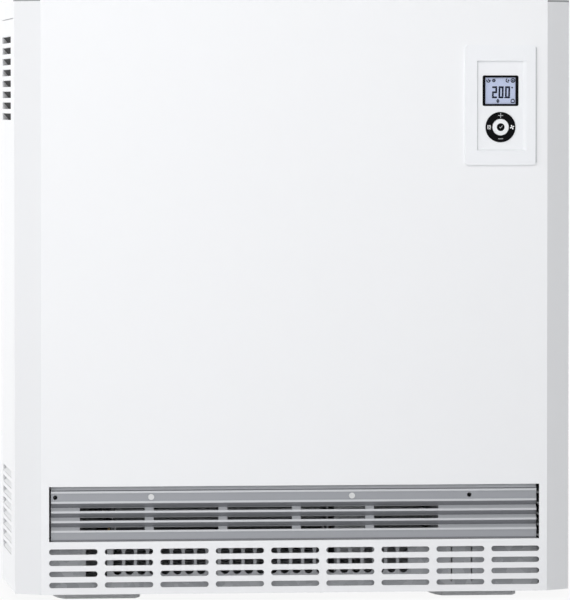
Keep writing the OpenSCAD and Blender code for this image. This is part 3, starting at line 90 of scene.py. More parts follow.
# Soft colour change between two tones, with a fine grain on top of it
def makeTintGroup():
    group, given, end = newGroup(
        "tintVary",
        [("Vector", vectorKind, None), ("Tone A", colorKind, (1, 1, 1, 1)), ("Tone B", colorKind, (0, 0, 0, 1)),
         ("Patch Scale", floatKind, 8.0), ("Grain Scale", floatKind, 400.0), ("Grain", floatKind, 0.3)],
        [("Color", colorKind)])
    patch = addNode(group, "ShaderNodeTexNoise", {
        "Vector": given["Vector"], "Scale": given["Patch Scale"], "Detail": 3.0, "Roughness": 0.5})
    grain = addNode(group, "ShaderNodeTexNoise", {
        "Vector": given["Vector"], "Scale": given["Grain Scale"], "Detail": 2.0, "Roughness": 0.6})
    blend = addNode(group, "ShaderNodeMix", {
        0: given["Grain"], 2: patch.outputs["Fac"], 3: grain.outputs["Fac"]}, data_type="FLOAT")
    feed(group, end, {"Color": mixOf(group, blend.outputs[0], given["Tone A"], given["Tone B"])})
    return group


# Noise turned into a value between two limits, for roughness and for bumps
def makeRangeGroup():
    group, given, end = newGroup(
        "noiseRange",
        [("Vector", vectorKind, None), ("Scale", floatKind, 200.0), ("Detail", floatKind, 2.0),
         ("Low", floatKind, 0.0), ("High", floatKind, 1.0)],
        [("Value", floatKind)])
    noise = addNode(group, "ShaderNodeTexNoise", {
        "Vector": given["Vector"], "Scale": given["Scale"], "Detail": given["Detail"], "Roughness": 0.55})
    spread = addNode(group, "ShaderNodeMapRange", {
        "Value": noise.outputs["Fac"], "From Min": 0.3, "From Max": 0.7,
        "To Min": given["Low"], "To Max": given["High"]})
    feed(group, end, {"Value": spread.outputs["Result"]})
    return group


# Crystal patches of hot-dip zinc: each cell has its own brightness, and warped edges
def makeSpangleGroup():
    group, given, end = newGroup(
        "zincSpangle",
        [("Vector", vectorKind, None), ("Scale", floatKind, 120.0), ("Dark", colorKind, (0, 0, 0, 1)),
         ("Light", colorKind, (1, 1, 1, 1)), ("Warp", floatKind, 0.2)],
        [("Color", colorKind)])
    warp = addNode(group, "ShaderNodeTexNoise", {"Vector": given["Vector"], "Scale": 60.0, "Detail": 2.0})
    shift = addNode(group, "ShaderNodeVectorMath", {0: warp.outputs["Color"], "Scale": given["Warp"]},
                    operation="SCALE")
    place = addNode(group, "ShaderNodeVectorMath", {0: given["Vector"], 1: shift.outputs[0]}, operation="ADD")
    cells = addNode(group, "ShaderNodeTexVoronoi", {
        "Vector": place.outputs[0], "Scale": given["Scale"], "Randomness": 1.0})
    shares = addNode(group, "ShaderNodeSeparateColor", {"Color": cells.outputs["Color"]}).outputs
    feed(group, end, {"Color": mixOf(group, shares["Red"], given["Dark"], given["Light"])})
    return group


# Light dust on faces that look upwards
def makeDustGroup():
    group, given, end = newGroup(
        "dustOnTop",
        [("Vector", vectorKind, None), ("Color", colorKind, (1, 1, 1, 1)), ("Dust", colorKind, (0.6, 0.58, 0.54, 1)),
         ("Amount", floatKind, 0.1)],
        [("Color", colorKind)])
    facing = axesOf(group, addNode(group, "ShaderNodeNewGeometry").outputs["Normal"])
    upward = addNode(group, "ShaderNodeMapRange", {"Value": facing["Z"], "From Min": 0.5, "From Max": 1.0})
    noise = addNode(group, "ShaderNodeTexNoise", {"Vector": given["Vector"], "Scale": 35.0, "Detail": 4.0})
    speckle = mathOf(group, "MULTIPLY", upward.outputs["Result"], noise.outputs["Fac"])
    share = mathOf(group, "MULTIPLY", speckle, given["Amount"])
    feed(group, end, {"Color": mixOf(group, share, given["Color"], given["Dust"])})
    return group


# Painted light and shade on the grille's pressed profile: painted highlights on the ridges, painted shade on the
# undersides and the lowest fold, painted light on the upper slopes, and above the crown height a lighter painted head
# with painted shade where it runs down to the first ridge. Heights and depths are in metres.
def makeGrillePaintedShadeGroup():
    group, given, end = newGroup(
        "grillePaintedLightShade",
        [("Vector", vectorKind, None), ("Color", colorKind, (0.4, 0.4, 0.4, 1)),
         ("Ridge Highlight", colorKind, (0.8, 0.8, 0.8, 1)), ("Under Shade", colorKind, (0.2, 0.2, 0.2, 1)),
         ("Over", colorKind, (0.5, 0.5, 0.5, 1)), ("Lit Head", colorKind, (0.6, 0.6, 0.6, 1)),
         ("Depth Low", floatKind, 0.0), ("Depth High", floatKind, 0.001),
         ("Head Height", floatKind, 1.0), ("Crown Height", floatKind, 1.0), ("Fold Shade Height", floatKind, 0.0)],
        [("Color", colorKind)])
    place = axesOf(group, given["Vector"])
    facing = axesOf(group, addNode(group, "ShaderNodeNewGeometry").outputs["True Normal"])
    # painted highlight on the ridges, picked by depth
    ridgeHighlight = addNode(group, "ShaderNodeMapRange", {
        "Value": place["Y"], "From Min": given["Depth Low"], "From Max": given["Depth High"]}).outputs["Result"]
    # painted shade on faces that look down, painted light on faces that look up
    underShadeMask = addNode(group, "ShaderNodeMapRange", {
        "Value": facing["Z"], "From Min": -0.05, "From Max": -0.45}).outputs["Result"]
    upperLightMask = addNode(group, "ShaderNodeMapRange", {
        "Value": facing["Z"], "From Min": 0.05, "From Max": 0.45}).outputs["Result"]
    # painted light on the head above the crown, painted shade on the lowest fold and where the head runs down
    belowHead = mathOf(group, "LESS_THAN", place["Z"], given["Head Height"])
    belowCrown = mathOf(group, "LESS_THAN", place["Z"], given["Crown Height"])
    aboveCrown = mathOf(group, "GREATER_THAN", place["Z"], given["Crown Height"])
    foldShade = mathOf(group, "LESS_THAN", place["Z"], given["Fold Shade Height"])
    undersideShade = mathOf(group, "MULTIPLY", underShadeMask, belowHead)
    headFootShade = mathOf(group, "MULTIPLY", mathOf(group, "SUBTRACT", belowCrown, belowHead), upperLightMask)
    paintedShade = mathOf(group, "MAXIMUM", mathOf(group, "MAXIMUM", undersideShade, foldShade), headFootShade)
    color = mixOf(group, upperLightMask, given["Color"], given["Over"])
    color = mixOf(group, aboveCrown, color, given["Lit Head"])
    color = mixOf(group, paintedShade, color, given["Under Shade"])
    feed(group, end, {"Color": mixOf(group, ridgeHighlight, color, given["Ridge Highlight"])})
    return group


# Painted shade on the undersides of pressed-in flaps: faces that look down (Facing is the limit for their normal's Z
# part), inside the sheets' outer skin, in metres from X = 0
def makeFlapShadeGroup():
    group, given, end = newGroup(
        "flapShade",
        [("Vector", vectorKind, None), ("Color", colorKind, (0.8, 0.8, 0.8, 1)),
         ("Shade", colorKind, (0.02, 0.02, 0.02, 1)), ("Skin", floatKind, 1.0), ("Facing", floatKind, 0.0)],
        [("Color", colorKind), ("Mask", floatKind)])
    sideways = mathOf(group, "ABSOLUTE", axesOf(group, given["Vector"])["X"])
    facing = axesOf(group, addNode(group, "ShaderNodeNewGeometry").outputs["True Normal"])
    inside = mathOf(group, "LESS_THAN", sideways, given["Skin"])
    downward = mathOf(group, "LESS_THAN", facing["Z"], given["Facing"])
    mask = mathOf(group, "MULTIPLY", inside, downward)
    feed(group, end, {"Color": mixOf(group, mask, given["Color"], given["Shade"]), "Mask": mask})
    return group


# Painted shade line at a fold: an upright band between two X places, behind a given depth, in metres
def makeCreaseShadeGroup():
    group, given, end = newGroup(
        "creaseShade",
        [("Vector", vectorKind, None), ("Color", colorKind, (0.8, 0.8, 0.8, 1)),
         ("Shade", colorKind, (0.5, 0.5, 0.5, 1)), ("Low", floatKind, 0.0), ("High", floatKind, 0.001),
         ("Depth", floatKind, -1.0)],
        [("Color", colorKind)])
    place = axesOf(group, given["Vector"])
    above = mathOf(group, "GREATER_THAN", place["X"], given["Low"])
    below = mathOf(group, "LESS_THAN", place["X"], given["High"])
    behind = mathOf(group, "GREATER_THAN", place["Y"], given["Depth"])
    mask = mathOf(group, "MULTIPLY", mathOf(group, "MULTIPLY", above, below), behind)
    feed(group, end, {"Color": mixOf(group, mask, given["Color"], given["Shade"])})
    return group


tintGroup = makeTintGroup()
rangeGroup = makeRangeGroup()
spangleGroup = makeSpangleGroup()
dustGroup = makeDustGroup()
grillePaintedLightGroup = makeGrillePaintedShadeGroup()
flapShadeGroup = makeFlapShadeGroup()
creaseShadeGroup = makeCreaseShadeGroup()
print("node groups made")


def rgba(color):
    return (*color, 1.0)


def useGroup(tree, group, values):
    node = tree.nodes.new("ShaderNodeGroup")
    node.node_tree = group
    feed(tree, node, values)
    return node.outputs


# Values that all finishes share
surface = {"glossShare": 0.4, "glossDetail": 3.0, "zincWarp": 0.01, "bumpStrength": 1.0, "coatRoughness": 0.2}


# One finish: two tones with grain, painted light and shade for single features, dust on top faces, a roughness range
# and a fine bump
def makeFinish(name, toneA, toneB, roughness, patchScale=8.0, grainScale=400.0, grain=0.3, metallic=0.0,
               bumpScale=900.0, bumpDepth=0.02, bumpDetail=2.0, dust=0.1, coat=0.0, stretch=None,
               spangle=None, specular=0.5, alpha=1.0, paintedLightAndShade=()):
    material = bpy.data.materials.new(name)
    material.use_nodes = True
    tree = material.node_tree
    place = addNode(tree, "ShaderNodeTexCoord").outputs["Object"]
    vector = place
    if stretch:
        vector = addNode(tree, "ShaderNodeMapping", {"Vector": place, "Scale": stretch}).outputs["Vector"]
    if spangle:
        color = useGroup(tree, spangleGroup, {
            "Vector": vector, "Scale": spangle, "Dark": rgba(toneA), "Light": rgba(toneB),
            "Warp": surface["zincWarp"]})["Color"]
    else:
        color = useGroup(tree, tintGroup, {
            "Vector": vector, "Tone A": rgba(toneA), "Tone B": rgba(toneB), "Patch Scale": patchScale,
            "Grain Scale": grainScale, "Grain": grain})["Color"]
    gloss = useGroup(tree, rangeGroup, {
        "Vector": vector, "Scale": grainScale * surface["glossShare"], "Detail": surface["glossDetail"],
        "Low": roughness[0], "High": roughness[1]})["Value"]
    for group, values in paintedLightAndShade:
        shaded = useGroup(tree, group, {"Vector": place, "Color": color, **values})
        color = shaded["Color"]
        if group == flapShadeGroup:   # the faces with painted shade get full roughness, so they don't shine
            gloss = mathOf(tree, "MAXIMUM", gloss, shaded["Mask"])
    if dust:
        color = useGroup(tree, dustGroup, {"Vector": place, "Color": color, "Amount": dust})["Color"]
    relief = useGroup(tree, rangeGroup, {"Vector": vector, "Scale": bumpScale, "Detail": bumpDetail})["Value"]
    bump = addNode(tree, "ShaderNodeBump", {
        "Strength": surface["bumpStrength"], "Distance": bumpDepth * mm, "Height": relief})
    feed(tree, tree.nodes["Principled BSDF"], {
        "Base Color": color, "Roughness": gloss, "Normal": bump.outputs["Normal"], "Metallic": metallic,
        "Specular IOR Level": specular, "Coat Weight": coat, "Coat Roughness": surface["coatRoughness"],
        "Alpha": alpha})
    return material


# Values for the painted light and shade of single features: the grille's profile, the side panels' flaps, the control
# frame's folds
grillePaintedLight = {
    "Ridge Highlight": (0.51, 0.52, 0.54, 1), "Under Shade": (0.18, 0.185, 0.20, 1), "Over": (0.41, 0.42, 0.44, 1),
    "Lit Head": (0.58, 0.59, 0.61, 1), "Depth Low": -0.1307, "Depth High": -0.13095,
    "Head Height": 0.1165, "Crown Height": 0.1204, "Fold Shade Height": 0.0672,
}
sideFlapShade = {"Shade": (0.008, 0.008, 0.009, 1), "Skin": 0.3013, "Facing": -0.3}
foldShadeTone = (0.47, 0.48, 0.495, 1)
frameFoldShades = [{"Low": 0.1977, "High": 0.1993, "Depth": -0.1366, "Shade": foldShadeTone},
              {"Low": 0.2621, "High": 0.2640, "Depth": -1.0, "Shade": foldShadeTone}]

# Finishes, by the record's slot names. Scales count per metre, and bump depths are in millimetres.
finishes = {
    "white_enamel": dict(
        toneA=(0.845, 0.85, 0.863), toneB=(0.865, 0.87, 0.883), roughness=(0.36, 0.42),
        patchScale=3.0, grainScale=700.0, grain=0.25, bumpScale=1100.0, bumpDepth=0.012, dust=0.03),
    "black_plastic": dict(
        toneA=(0.002, 0.002, 0.003), toneB=(0.004, 0.004, 0.005), roughness=(0.42, 0.55),
        grainScale=1500.0, bumpScale=2500.0, bumpDepth=0.02, dust=0.005, specular=0.04),
    "galvanised_steel": dict(
        toneA=(0.58, 0.59, 0.61), toneB=(0.74, 0.75, 0.77), roughness=(0.42, 0.58),
        metallic=0.15, spangle=110.0, bumpScale=500.0, bumpDepth=0.01, dust=0.1),
    "foot_steel": dict(
        toneA=(0.82, 0.83, 0.84), toneB=(0.87, 0.88, 0.89), roughness=(0.45, 0.6),
        grainScale=600.0, bumpScale=900.0, bumpDepth=0.02, dust=0.12),
    "rubber": dict(
        toneA=(0.02, 0.02, 0.02), toneB=(0.035, 0.035, 0.035), roughness=(0.7, 0.85),
        grainScale=900.0, bumpScale=1600.0, bumpDepth=0.03, dust=0.15),
    # the grille's finish carries the painted highlights and painted shade of its profile
    "grille_metal": dict(
        toneA=(0.26, 0.269, 0.29), toneB=(0.305, 0.314, 0.336), roughness=(0.36, 0.46), metallic=0.2,
        grainScale=1800.0, grain=0.6, bumpScale=2200.0, bumpDepth=0.006, dust=0.0,
        paintedLightAndShade=[(grillePaintedLightGroup, grillePaintedLight)]),
    "zinc_screws": dict(
        toneA=(0.52, 0.525, 0.53), toneB=(0.62, 0.625, 0.63), roughness=(0.32, 0.44), metallic=0.4,
        grainScale=1200.0, bumpScale=1500.0, bumpDepth=0.01, dust=0.0),
    "insulation_board": dict(
        toneA=(0.70, 0.65, 0.55), toneB=(0.80, 0.76, 0.66), roughness=(0.85, 0.95),
        patchScale=20.0, grainScale=300.0, grain=0.5, bumpScale=420.0, bumpDepth=0.25, bumpDetail=6.0, dust=0.05),
    "storage_brick": dict(
        toneA=(0.055, 0.038, 0.032), toneB=(0.13, 0.09, 0.075), roughness=(0.75, 0.9),
        patchScale=40.0, grainScale=600.0, grain=0.7, bumpScale=500.0, bumpDepth=0.3, bumpDetail=6.0, dust=0.1),
    "element_steel": dict(
        toneA=(0.09, 0.08, 0.075), toneB=(0.19, 0.16, 0.14), roughness=(0.4, 0.6), metallic=0.8,
        patchScale=30.0, bumpScale=700.0, bumpDepth=0.02, dust=0.02),
    "ceramic_bushing": dict(
        toneA=(0.80, 0.76, 0.66), toneB=(0.86, 0.83, 0.74), roughness=(0.25, 0.4),
        patchScale=60.0, bumpScale=800.0, bumpDepth=0.03, dust=0.03, coat=0.3),
    "brass": dict(
        toneA=(0.60, 0.42, 0.18), toneB=(0.72, 0.53, 0.25), roughness=(0.28, 0.42), metallic=0.95,
        patchScale=50.0, stretch=(1.0, 1.0, 0.15), bumpScale=1500.0, bumpDepth=0.01, dust=0.03),
    "grey_plastic": dict(
        toneA=(0.31, 0.32, 0.33), toneB=(0.36, 0.37, 0.38), roughness=(0.4, 0.52),
        grainScale=1200.0, bumpScale=2200.0, bumpDepth=0.03, dust=0.1),
    "dark_plastic": dict(
        toneA=(0.045, 0.046, 0.05), toneB=(0.07, 0.071, 0.075), roughness=(0.4, 0.55),
        grainScale=1200.0, bumpScale=2200.0, bumpDepth=0.03, dust=0.08),
    "red_plastic": dict(
        toneA=(0.50, 0.02, 0.015), toneB=(0.60, 0.035, 0.025), roughness=(0.3, 0.42),
        grainScale=1500.0, bumpScale=2500.0, bumpDepth=0.01, dust=0.03),
    "wire_cover": dict(
        toneA=(0.20, 0.10, 0.05), toneB=(0.27, 0.145, 0.08), roughness=(0.4, 0.55),
        grainScale=800.0, bumpScale=1200.0, bumpDepth=0.02, dust=0.05),
    "fan_metal": dict(
        toneA=(0.52, 0.53, 0.55), toneB=(0.64, 0.65, 0.67), roughness=(0.35, 0.5), metallic=0.5,
        stretch=(0.2, 1.0, 1.0), grainScale=900.0, bumpScale=1100.0, bumpDepth=0.01, dust=0.12),
    "white_plastic": dict(
        toneA=(0.83, 0.84, 0.86), toneB=(0.86, 0.87, 0.89), roughness=(0.34, 0.42),
        patchScale=15.0, grainScale=1600.0, bumpScale=2600.0, bumpDepth=0.012, dust=0.02),
    "clear_window": dict(
        toneA=(0.10, 0.12, 0.15), toneB=(0.13, 0.15, 0.18), roughness=(0.03, 0.07), dust=0.0,
        bumpScale=300.0, bumpDepth=0.001, alpha=0.05, specular=0.08),
    "lcd_glass": dict(
        toneA=(0.585, 0.648, 0.862), toneB=(0.63, 0.695, 0.90), roughness=(0.22, 0.3), patchScale=60.0,
        grainScale=2500.0, grain=0.5, bumpScale=3000.0, bumpDepth=0.002, dust=0.0, specular=0.1),
    "circuit_board": dict(
        toneA=(0.018, 0.10, 0.035), toneB=(0.03, 0.16, 0.06), roughness=(0.3, 0.45),
        patchScale=120.0, grainScale=900.0, bumpScale=1400.0, bumpDepth=0.03, dust=0.05),
}

# Finishes that differ a little from their slot's: slot, changes, and the nodes that have them
ownFinishes = {
    "plate_zinc": ("galvanised_steel", dict(toneA=(0.37, 0.38, 0.40), toneB=(0.48, 0.49, 0.51)), ["intake_plate"]),
    # the side panels' enamel gets painted shade on the undersides of their flaps
    "side_enamel": ("white_enamel", dict(paintedLightAndShade=[(flapShadeGroup, sideFlapShade)]), ["left_side_panel", "right_side_panel"]),
    # the control frame's plastic gets painted shade lines at its folds
    "frame_plastic": ("white_plastic", dict(paintedLightAndShade=[(creaseShadeGroup, foldShade) for foldShade in frameFoldShades]), ["control_frame"]),
}

# Printed signs: smooth, even colours
prints = {
    "display_ink": dict(toneA=(0.003, 0.005, 0.02), toneB=(0.006, 0.009, 0.03), specular=0.08),
    "white_print": dict(toneA=(0.80, 0.81, 0.82), toneB=(0.88, 0.89, 0.90)),
    "grey_print": dict(toneA=(0.42, 0.43, 0.45), toneB=(0.50, 0.51, 0.53)),
}
printSurface = dict(roughness=(0.4, 0.5), grainScale=2500.0, bumpScale=3000.0, bumpDepth=0.002, dust=0.0)

materials = {slot: makeFinish(slot, **values) for slot, values in finishes.items()}
finishOf = {part["node"]: part["material_slot"] for part in frame["record"]["subparts"]}
for name, (slot, changes, wearers) in ownFinishes.items():
    materials[name] = makeFinish(name, **dict(finishes[slot], **changes))
    finishOf.update({wearer: name for wearer in wearers})
for name, values in prints.items():
    materials[name] = makeFinish(name, **printSurface, **values)
for name, thing in nodes.items():
    thing.data.materials.clear()
    thing.data.materials.append(materials[finishOf[name]])
print("finishes:", len(materials))


# Helpers for new pieces. A layer is a flat shape's back depth and its thickness towards the viewer, in metres.
weldGap = 1e-4   # points nearer than this become one


def finishPiece(name, mesh, finish, body):
    bmesh.ops.remove_doubles(mesh, verts=mesh.verts, dist=weldGap * mm)
    bmesh.ops.recalc_face_normals(mesh, faces=mesh.faces)
    data = bpy.data.meshes.new(name)
    mesh.to_mesh(data)
    mesh.free()
    piece = bpy.data.objects.new(name, data)
    scene.collection.objects.link(piece)
    data.materials.append(materials[finish])
    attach(piece, body)


def thicken(mesh, faces, thickness):
    grown = bmesh.ops.extrude_face_region(mesh, geom=faces)["geom"]
    moved = [item for item in grown if isinstance(item, bmesh.types.BMVert)]
    bmesh.ops.translate(mesh, verts=moved, vec=(0, -thickness, 0))


# Flat shape drawn in X and Z
def addPlate(mesh, points, layer):
    backY, thickness = layer
    face = mesh.faces.new([mesh.verts.new((x, backY, z)) for x, z in points])
    thicken(mesh, [face], thickness)


# Flat ring, or part of one where a sweep is given: a short edge spun about its centre
def addRing(mesh, x, z, inner, outer, layer, start=0, sweep=360, steps=48):
    backY, thickness = layer
    turn = math.radians(start)
    ends = [mesh.verts.new((x + radius * math.cos(turn), backY, z + radius * math.sin(turn)))
            for radius in (inner, outer)]
    edge = mesh.edges.new(ends)
    before = set(mesh.faces)
    bmesh.ops.spin(mesh, geom=[*ends, edge], cent=(x, backY, z), axis=(0, -1, 0), angle=math.radians(sweep),
                   steps=steps, use_merge=sweep == 360)
    thicken(mesh, [face for face in mesh.faces if face not in before], thickness)


def barPoints(x, z, width, height, turn=0.0):
    c, s = math.cos(turn), math.sin(turn)
    corners = [(-width / 2, -height / 2), (width / 2, -height / 2), (width / 2, height / 2), (-width / 2, height / 2)]
    return [(x + c * a - s * b, z + s * a + c * b) for a, b in corners]


# Display digits, as bars of a seven-bar figure: top a, right b and c, bottom d, left e and f, middle g
display = {
    "frontY": -133.6, "thickness": 0.05, "digits": "200", "digitLeft": [214.75, 221.85, 228.95],
    "digitHeight": 13.0, "digitWidth": 5.6, "stroke": 2.0, "gap": 0.06, "corner": 0.4, "sideCorner": 0.1,
    "lean": 0.02, "lowZ": 543.3, "pointX": 228.45, "pointRise": 0.6, "pointWidth": 0.9, "pointHeight": 1.2,
    "degreeX": 236.9, "degreeZ": 554.9, "degreeInner": 0.2, "degreeOuter": 0.95,
}
barsOf = {"2": "abged", "0": "abcdef"}
displayLayer = (display["frontY"] * mm, display["thickness"] * mm)


# Bar with its four corners cut, leaning to the right with height
def addBar(mesh, x0, x1, z0, z1, corner):
    lean, footZ = display["lean"], display["lowZ"] * mm
    points = [(x0 + corner, z0), (x1 - corner, z0), (x1, z0 + corner), (x1, z1 - corner),
              (x1 - corner, z1), (x0 + corner, z1), (x0, z1 - corner), (x0, z0 + corner)]
    addPlate(mesh, [(x + lean * (z - footZ), z) for x, z in points], displayLayer)


def makeDigits():
    mesh = bmesh.new()
    high, wide, stroke, gap = (display[k] * mm for k in ("digitHeight", "digitWidth", "stroke", "gap"))
    corner, sideCorner = display["corner"] * mm, display["sideCorner"] * mm
    z0 = display["lowZ"] * mm
    z1, zMid = z0 + high, z0 + high / 2
    for left, digit in zip(display["digitLeft"], display["digits"]):
        x0, x1 = left * mm, left * mm + wide
        edge = stroke / 2 if "g" in barsOf[digit] else 0.0   # half of the middle bar
        bars = {"a": (x0, x1, z1 - stroke, z1), "g": (x0, x1, zMid - stroke / 2, zMid + stroke / 2),
                "d": (x0, x1, z0, z0 + stroke),
                "b": (x1 - stroke, x1, zMid + edge + gap / 2, z1 - stroke - gap),
                "c": (x1 - stroke, x1, z0 + stroke + gap, zMid - edge - gap / 2),
                "e": (x0, x0 + stroke, z0 + stroke + gap, zMid - edge - gap / 2),
                "f": (x0, x0 + stroke, zMid + edge + gap / 2, z1 - stroke - gap)}
        for key in barsOf[digit]:
            addBar(mesh, *bars[key], corner if key in "agd" else sideCorner)
    addPlate(mesh, barPoints(display["pointX"] * mm, z0 + display["pointRise"] * mm, display["pointWidth"] * mm,
                             display["pointHeight"] * mm), displayLayer)
    addRing(mesh, display["degreeX"] * mm, display["degreeZ"] * mm, display["degreeInner"] * mm,
            display["degreeOuter"] * mm, displayLayer)
    finishPiece("displayDigits", mesh, "display_ink", "root")


# Display signs, drawn from their middles. Bars are x, z, width, height and turn; arcs are radius, start and sweep.
# The hands and the floor line lack one size, which is the line.
signs = {
    "line": 1.15, "topZ": 562.6, "lowZ": 540.4, "clockX": 211.0, "gearX": 216.9, "timerX": 232.0, "houseX": 237.7,
    "arrowX": 221.3, "roomX": 237.6,
    "clockDial": (2.4, 150, 240), "uprightHand": (0.1, 0.75, 1.9), "levelHand": (0.95, 0.1, 1.0),
    "gearInner": 0.4, "gearOuter": 1.6, "teeth": 8, "toothReach": 1.9, "toothSize": (0.55, 0.8),
    "timerDial": (2.3, 110, 200), "timerPointer": (1.0, 0.2, 1.9, 1.7, math.radians(30)),
    "houseRadius": 2.6, "houseRoof": (1.3, 1.2), "houseWalls": (0.0, -0.6, 1.8, 1.1),
    "arrowHalf": 1.9, "arrowNear": 0.15, "arrowFar": 2.7,
    "roomRoof": (2.4, 5, 170), "roomFloor": (0.0, -1.6, 4.2),
    "roomWalls": [(-1.85, -0.5, 0.9, 1.1), (1.85, -0.5, 0.9, 1.1)],
}


def makeSigns():
    mesh = bmesh.new()
    topZ, lowZ, line = signs["topZ"] * mm, signs["lowZ"] * mm, signs["line"]

    def bar(x, z, a, b, width, height, turn=0.0):
        addPlate(mesh, barPoints(x + a * mm, z + b * mm, width * mm, height * mm, turn), displayLayer)

    def arc(x, z, radius, start, sweep):
        addRing(mesh, x, z, (radius - line) * mm, radius * mm, displayLayer, start, sweep, steps=24)

    x = signs["clockX"] * mm   # clock: an open dial with two hands
    arc(x, topZ, *signs["clockDial"])
    a, b, height = signs["uprightHand"]
    bar(x, topZ, a, b, line, height)
    bar(x, topZ, *signs["levelHand"], line)
    x = signs["gearX"] * mm   # gear: a thick ring with teeth
    addRing(mesh, x, topZ, signs["gearInner"] * mm, signs["gearOuter"] * mm, displayLayer)
    reach = signs["toothReach"]
    for i in range(signs["teeth"]):
        turn = math.tau * i / signs["teeth"]
        bar(x, topZ, reach * math.cos(turn), reach * math.sin(turn), *signs["toothSize"], turn)
    x = signs["timerX"] * mm   # timer: an open arc with a pointer
    arc(x, topZ, *signs["timerDial"])
    bar(x, topZ, *signs["timerPointer"])
    x = signs["houseX"] * mm   # house in a ring
    addRing(mesh, x, topZ, (signs["houseRadius"] - line) * mm, signs["houseRadius"] * mm, displayLayer)
    half, rise = (size * mm for size in signs["houseRoof"])
    addPlate(mesh, [(x - half, topZ), (x + half, topZ), (x, topZ + rise)], displayLayer)
    bar(x, topZ, *signs["houseWalls"])
    x = signs["arrowX"] * mm   # arrows up and down
    half, near, far = (signs[k] * mm for k in ("arrowHalf", "arrowNear", "arrowFar"))
    for side in (1, -1):
        addPlate(mesh, [(x - half, lowZ + side * near), (x + half, lowZ + side * near), (x, lowZ + side * far)],
                 displayLayer)
    x = signs["roomX"] * mm   # room: a round roof, two walls and a floor line
    arc(x, lowZ, *signs["roomRoof"])
    bar(x, lowZ, *signs["roomFloor"], line)
    for wall in signs["roomWalls"]:
        bar(x, lowZ, *wall)
    finishPiece("displaySigns", mesh, "display_ink", "root")


# Printed signs on the keys; shapes are given from each sign's own middle
keys = {
    "centreX": 224.0, "centreZ": 512.0, "ringFrontY": -136.0, "padFrontY": -136.7, "depth": 0.04,
    "reach": 12.6, "signHalf": 2.7, "stroke": 0.62,
    "page": [(0.1, 1.9, 3.6, 0.5), (0.1, -1.9, 3.6, 0.5), (-1.7, 0.0, 0.5, 3.3)], "dial": (0.55, 0.85, 1.4),
    "blade": [(0.25, -0.15), (1.5, -0.75), (2.6, -0.3), (2.35, 0.75), (1.1, 0.65), (0.25, 0.2)],
    "blades": 4, "bladeTurn": 20,
    "tick": [(-1.6, 0.0), (-1.2, 0.45), (-0.35, -0.45), (1.75, 1.75), (2.15, 1.35), (-0.35, -1.35)],
}
ringLayer = (keys["ringFrontY"] * mm, keys["depth"] * mm)
keyX, keyZ = keys["centreX"] * mm, keys["centreZ"] * mm


def makeRingSigns():
    mesh = bmesh.new()
    x = keyX - keys["reach"] * mm   # programme sign: a page with a dial
    for a, b, width, height in keys["page"]:
        addPlate(mesh, barPoints(x + a * mm, keyZ + b * mm, width * mm, height * mm), ringLayer)
    shift, inner, outer = (size * mm for size in keys["dial"])
    addRing(mesh, x + shift, keyZ, inner, outer, ringLayer)
    x = keyX + keys["reach"] * mm   # fan sign
    for i in range(keys["blades"]):
        turn = math.tau * i / keys["blades"] + math.radians(keys["bladeTurn"])
        c, s = math.cos(turn), math.sin(turn)
        addPlate(mesh, [(x + (a * c - b * s) * mm, keyZ + (a * s + b * c) * mm) for a, b in keys["blade"]], ringLayer)
    finishPiece("ringSigns", mesh, "white_print", "ring_key")


def makePlusMinus():
    mesh = bmesh.new()
    reach, half, s = keys["reach"] * mm, keys["signHalf"] * mm, keys["stroke"] * mm / 2
    cross = [(half, s), (s, s), (s, half), (-s, half), (-s, s), (-half, s),
             (-half, -s), (-s, -s), (-s, -half), (s, -half), (s, -s), (half, -s)]
    addPlate(mesh, [(keyX + a, keyZ + reach + b) for a, b in cross], ringLayer)
    addPlate(mesh, barPoints(keyX, keyZ - reach, 2 * half, 2 * s), ringLayer)
    finishPiece("plusMinusSigns", mesh, "grey_print", "ring_key")


def makeTick():
    mesh = bmesh.new()
    addPlate(mesh, [(keyX + a * mm, keyZ + b * mm) for a, b in keys["tick"]],
             (keys["padFrontY"] * mm, keys["depth"] * mm))
    finishPiece("tickSign", mesh, "grey_print", "center_key")


makeDigits()
makeSigns()
makeRingSigns()
makePlusMinus()
makeTick()
print("display and key signs made")


# Floor and surroundings, in metres: the floor is paper round the heater and fades to plain white further out
studio = {
    "floorRadius": 30.0, "floorSides": 96, "floorTone": (0.80, 0.80, 0.81), "floorRoughness": 0.9,
    "nearRadius": 1.2, "farRadius": 3.2, "nearShare": 0.92, "ambient": 0.35, "ambientTone": (0.97, 0.985, 1.0),
}
white = (1, 1, 1, 1)


def makeFloor():
    mesh = bmesh.new()
    bmesh.ops.create_circle(mesh, cap_ends=True, radius=studio["floorRadius"], segments=studio["floorSides"])
    data = bpy.data.meshes.new("floor")
    mesh.to_mesh(data)
    mesh.free()
    floor = bpy.data.objects.new("floor", data)
    scene.collection.objects.link(floor)
    material = bpy.data.materials.new("floor_paper")
    material.use_nodes = True
    tree = material.node_tree
    shader = tree.nodes["Principled BSDF"]
    feed(tree, shader, {"Base Color": rgba(studio["floorTone"]), "Roughness": studio["floorRoughness"],
                        "Specular IOR Level": 0.0})
    place = addNode(tree, "ShaderNodeTexCoord").outputs["Object"]
    distance = addNode(tree, "ShaderNodeVectorMath", {0: place}, operation="LENGTH").outputs["Value"]
    fade = addNode(tree, "ShaderNodeMapRange", {
        "Value": distance, "From Min": studio["nearRadius"], "From Max": studio["farRadius"],
        "To Min": studio["nearShare"]}, interpolation_type="SMOOTHSTEP").outputs["Result"]
    path = addNode(tree, "ShaderNodeLightPath").outputs
    seen = mathOf(tree, "MAXIMUM", path["Is Camera Ray"], path["Is Glossy Ray"])
    glow = addNode(tree, "ShaderNodeEmission", {"Color": white, "Strength": 1.0})
    mixed = addNode(tree, "ShaderNodeMixShader", {
        0: mathOf(tree, "MULTIPLY", fade, seen), 1: shader.outputs[0], 2: glow.outputs[0]})
    feed(tree, tree.nodes["Material Output"], {"Surface": mixed.outputs[0]})
    data.materials.append(material)


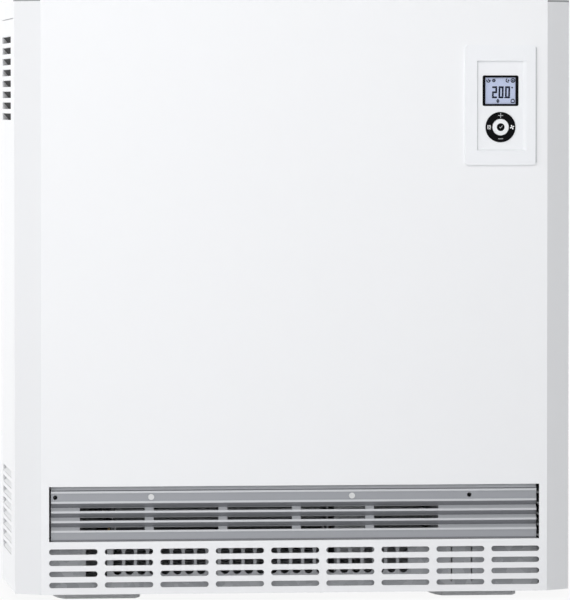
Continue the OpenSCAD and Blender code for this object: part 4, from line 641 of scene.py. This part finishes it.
def makeWorld():
    world = bpy.data.worlds.new("studioWorld")
    world.use_nodes = True
    scene.world = world
    tree = world.node_tree
    soft = tree.nodes["Background"]
    feed(tree, soft, {"Color": rgba(studio["ambientTone"]), "Strength": studio["ambient"]})
    backdrop = addNode(tree, "ShaderNodeBackground", {"Color": white, "Strength": 1.0})
    path = addNode(tree, "ShaderNodeLightPath").outputs
    seen = mathOf(tree, "MAXIMUM", path["Is Camera Ray"], path["Is Glossy Ray"])
    mixed = addNode(tree, "ShaderNodeMixShader", {
        0: mathOf(tree, "MAXIMUM", seen, path["Is Transmission Ray"]), 1: soft.outputs[0], 2: backdrop.outputs[0]})
    feed(tree, tree.nodes["World Output"], {"Surface": mixed.outputs[0]})


# Square area lamps, each aimed at a point: places and sizes in metres, power in watts
lamps = {
    "keyLamp": {"place": (-0.492, -2.312, 2.197), "target": (0, 0, 0.35), "size": 1.6, "power": 28.5},
    "frontLamp": {"place": (-0.42, -3.130, 0.800), "target": (0, 0, 0.35), "size": 1.6, "power": 24.6},
    "sideLamp": {"place": (-2.856, -1.332, 0.906), "target": (0, 0, 0.35), "size": 1.6, "power": 9.6},
    "leftLamp": {"place": (-2.70, 2.30, 0.75), "target": (0, 0, 0.30), "size": 1.2, "power": 53.0},
}
view = {
    "place": (-0.7034, -6.4299, 0.5387), "target": (-0.01114, -0.135, 0.32528), "lens": 351.6, "sensor": 36.0,
    "clipStart": 0.05, "clipEnd": 200.0,
}


def placeAimed(name, data, place, target):
    thing = bpy.data.objects.new(name, data)
    thing.location = place
    thing.rotation_euler = (Vector(target) - Vector(place)).to_track_quat("-Z", "Y").to_euler()
    scene.collection.objects.link(thing)
    return thing


def makeLamps():
    for name, lamp in lamps.items():
        data = bpy.data.lights.new(name, "AREA")
        data.energy = lamp["power"]
        data.shape = "SQUARE"
        data.size = lamp["size"]
        placeAimed(name, data, lamp["place"], lamp["target"])


def makeCamera():
    data = bpy.data.cameras.new("camera")
    data.lens = view["lens"]
    data.sensor_width = view["sensor"]
    data.clip_start = view["clipStart"]
    data.clip_end = view["clipEnd"]
    scene.camera = placeAimed("camera", data, view["place"], view["target"])


makeFloor()
makeWorld()
makeLamps()
makeCamera()
scene.view_settings.view_transform = "Standard"
print("studio made")
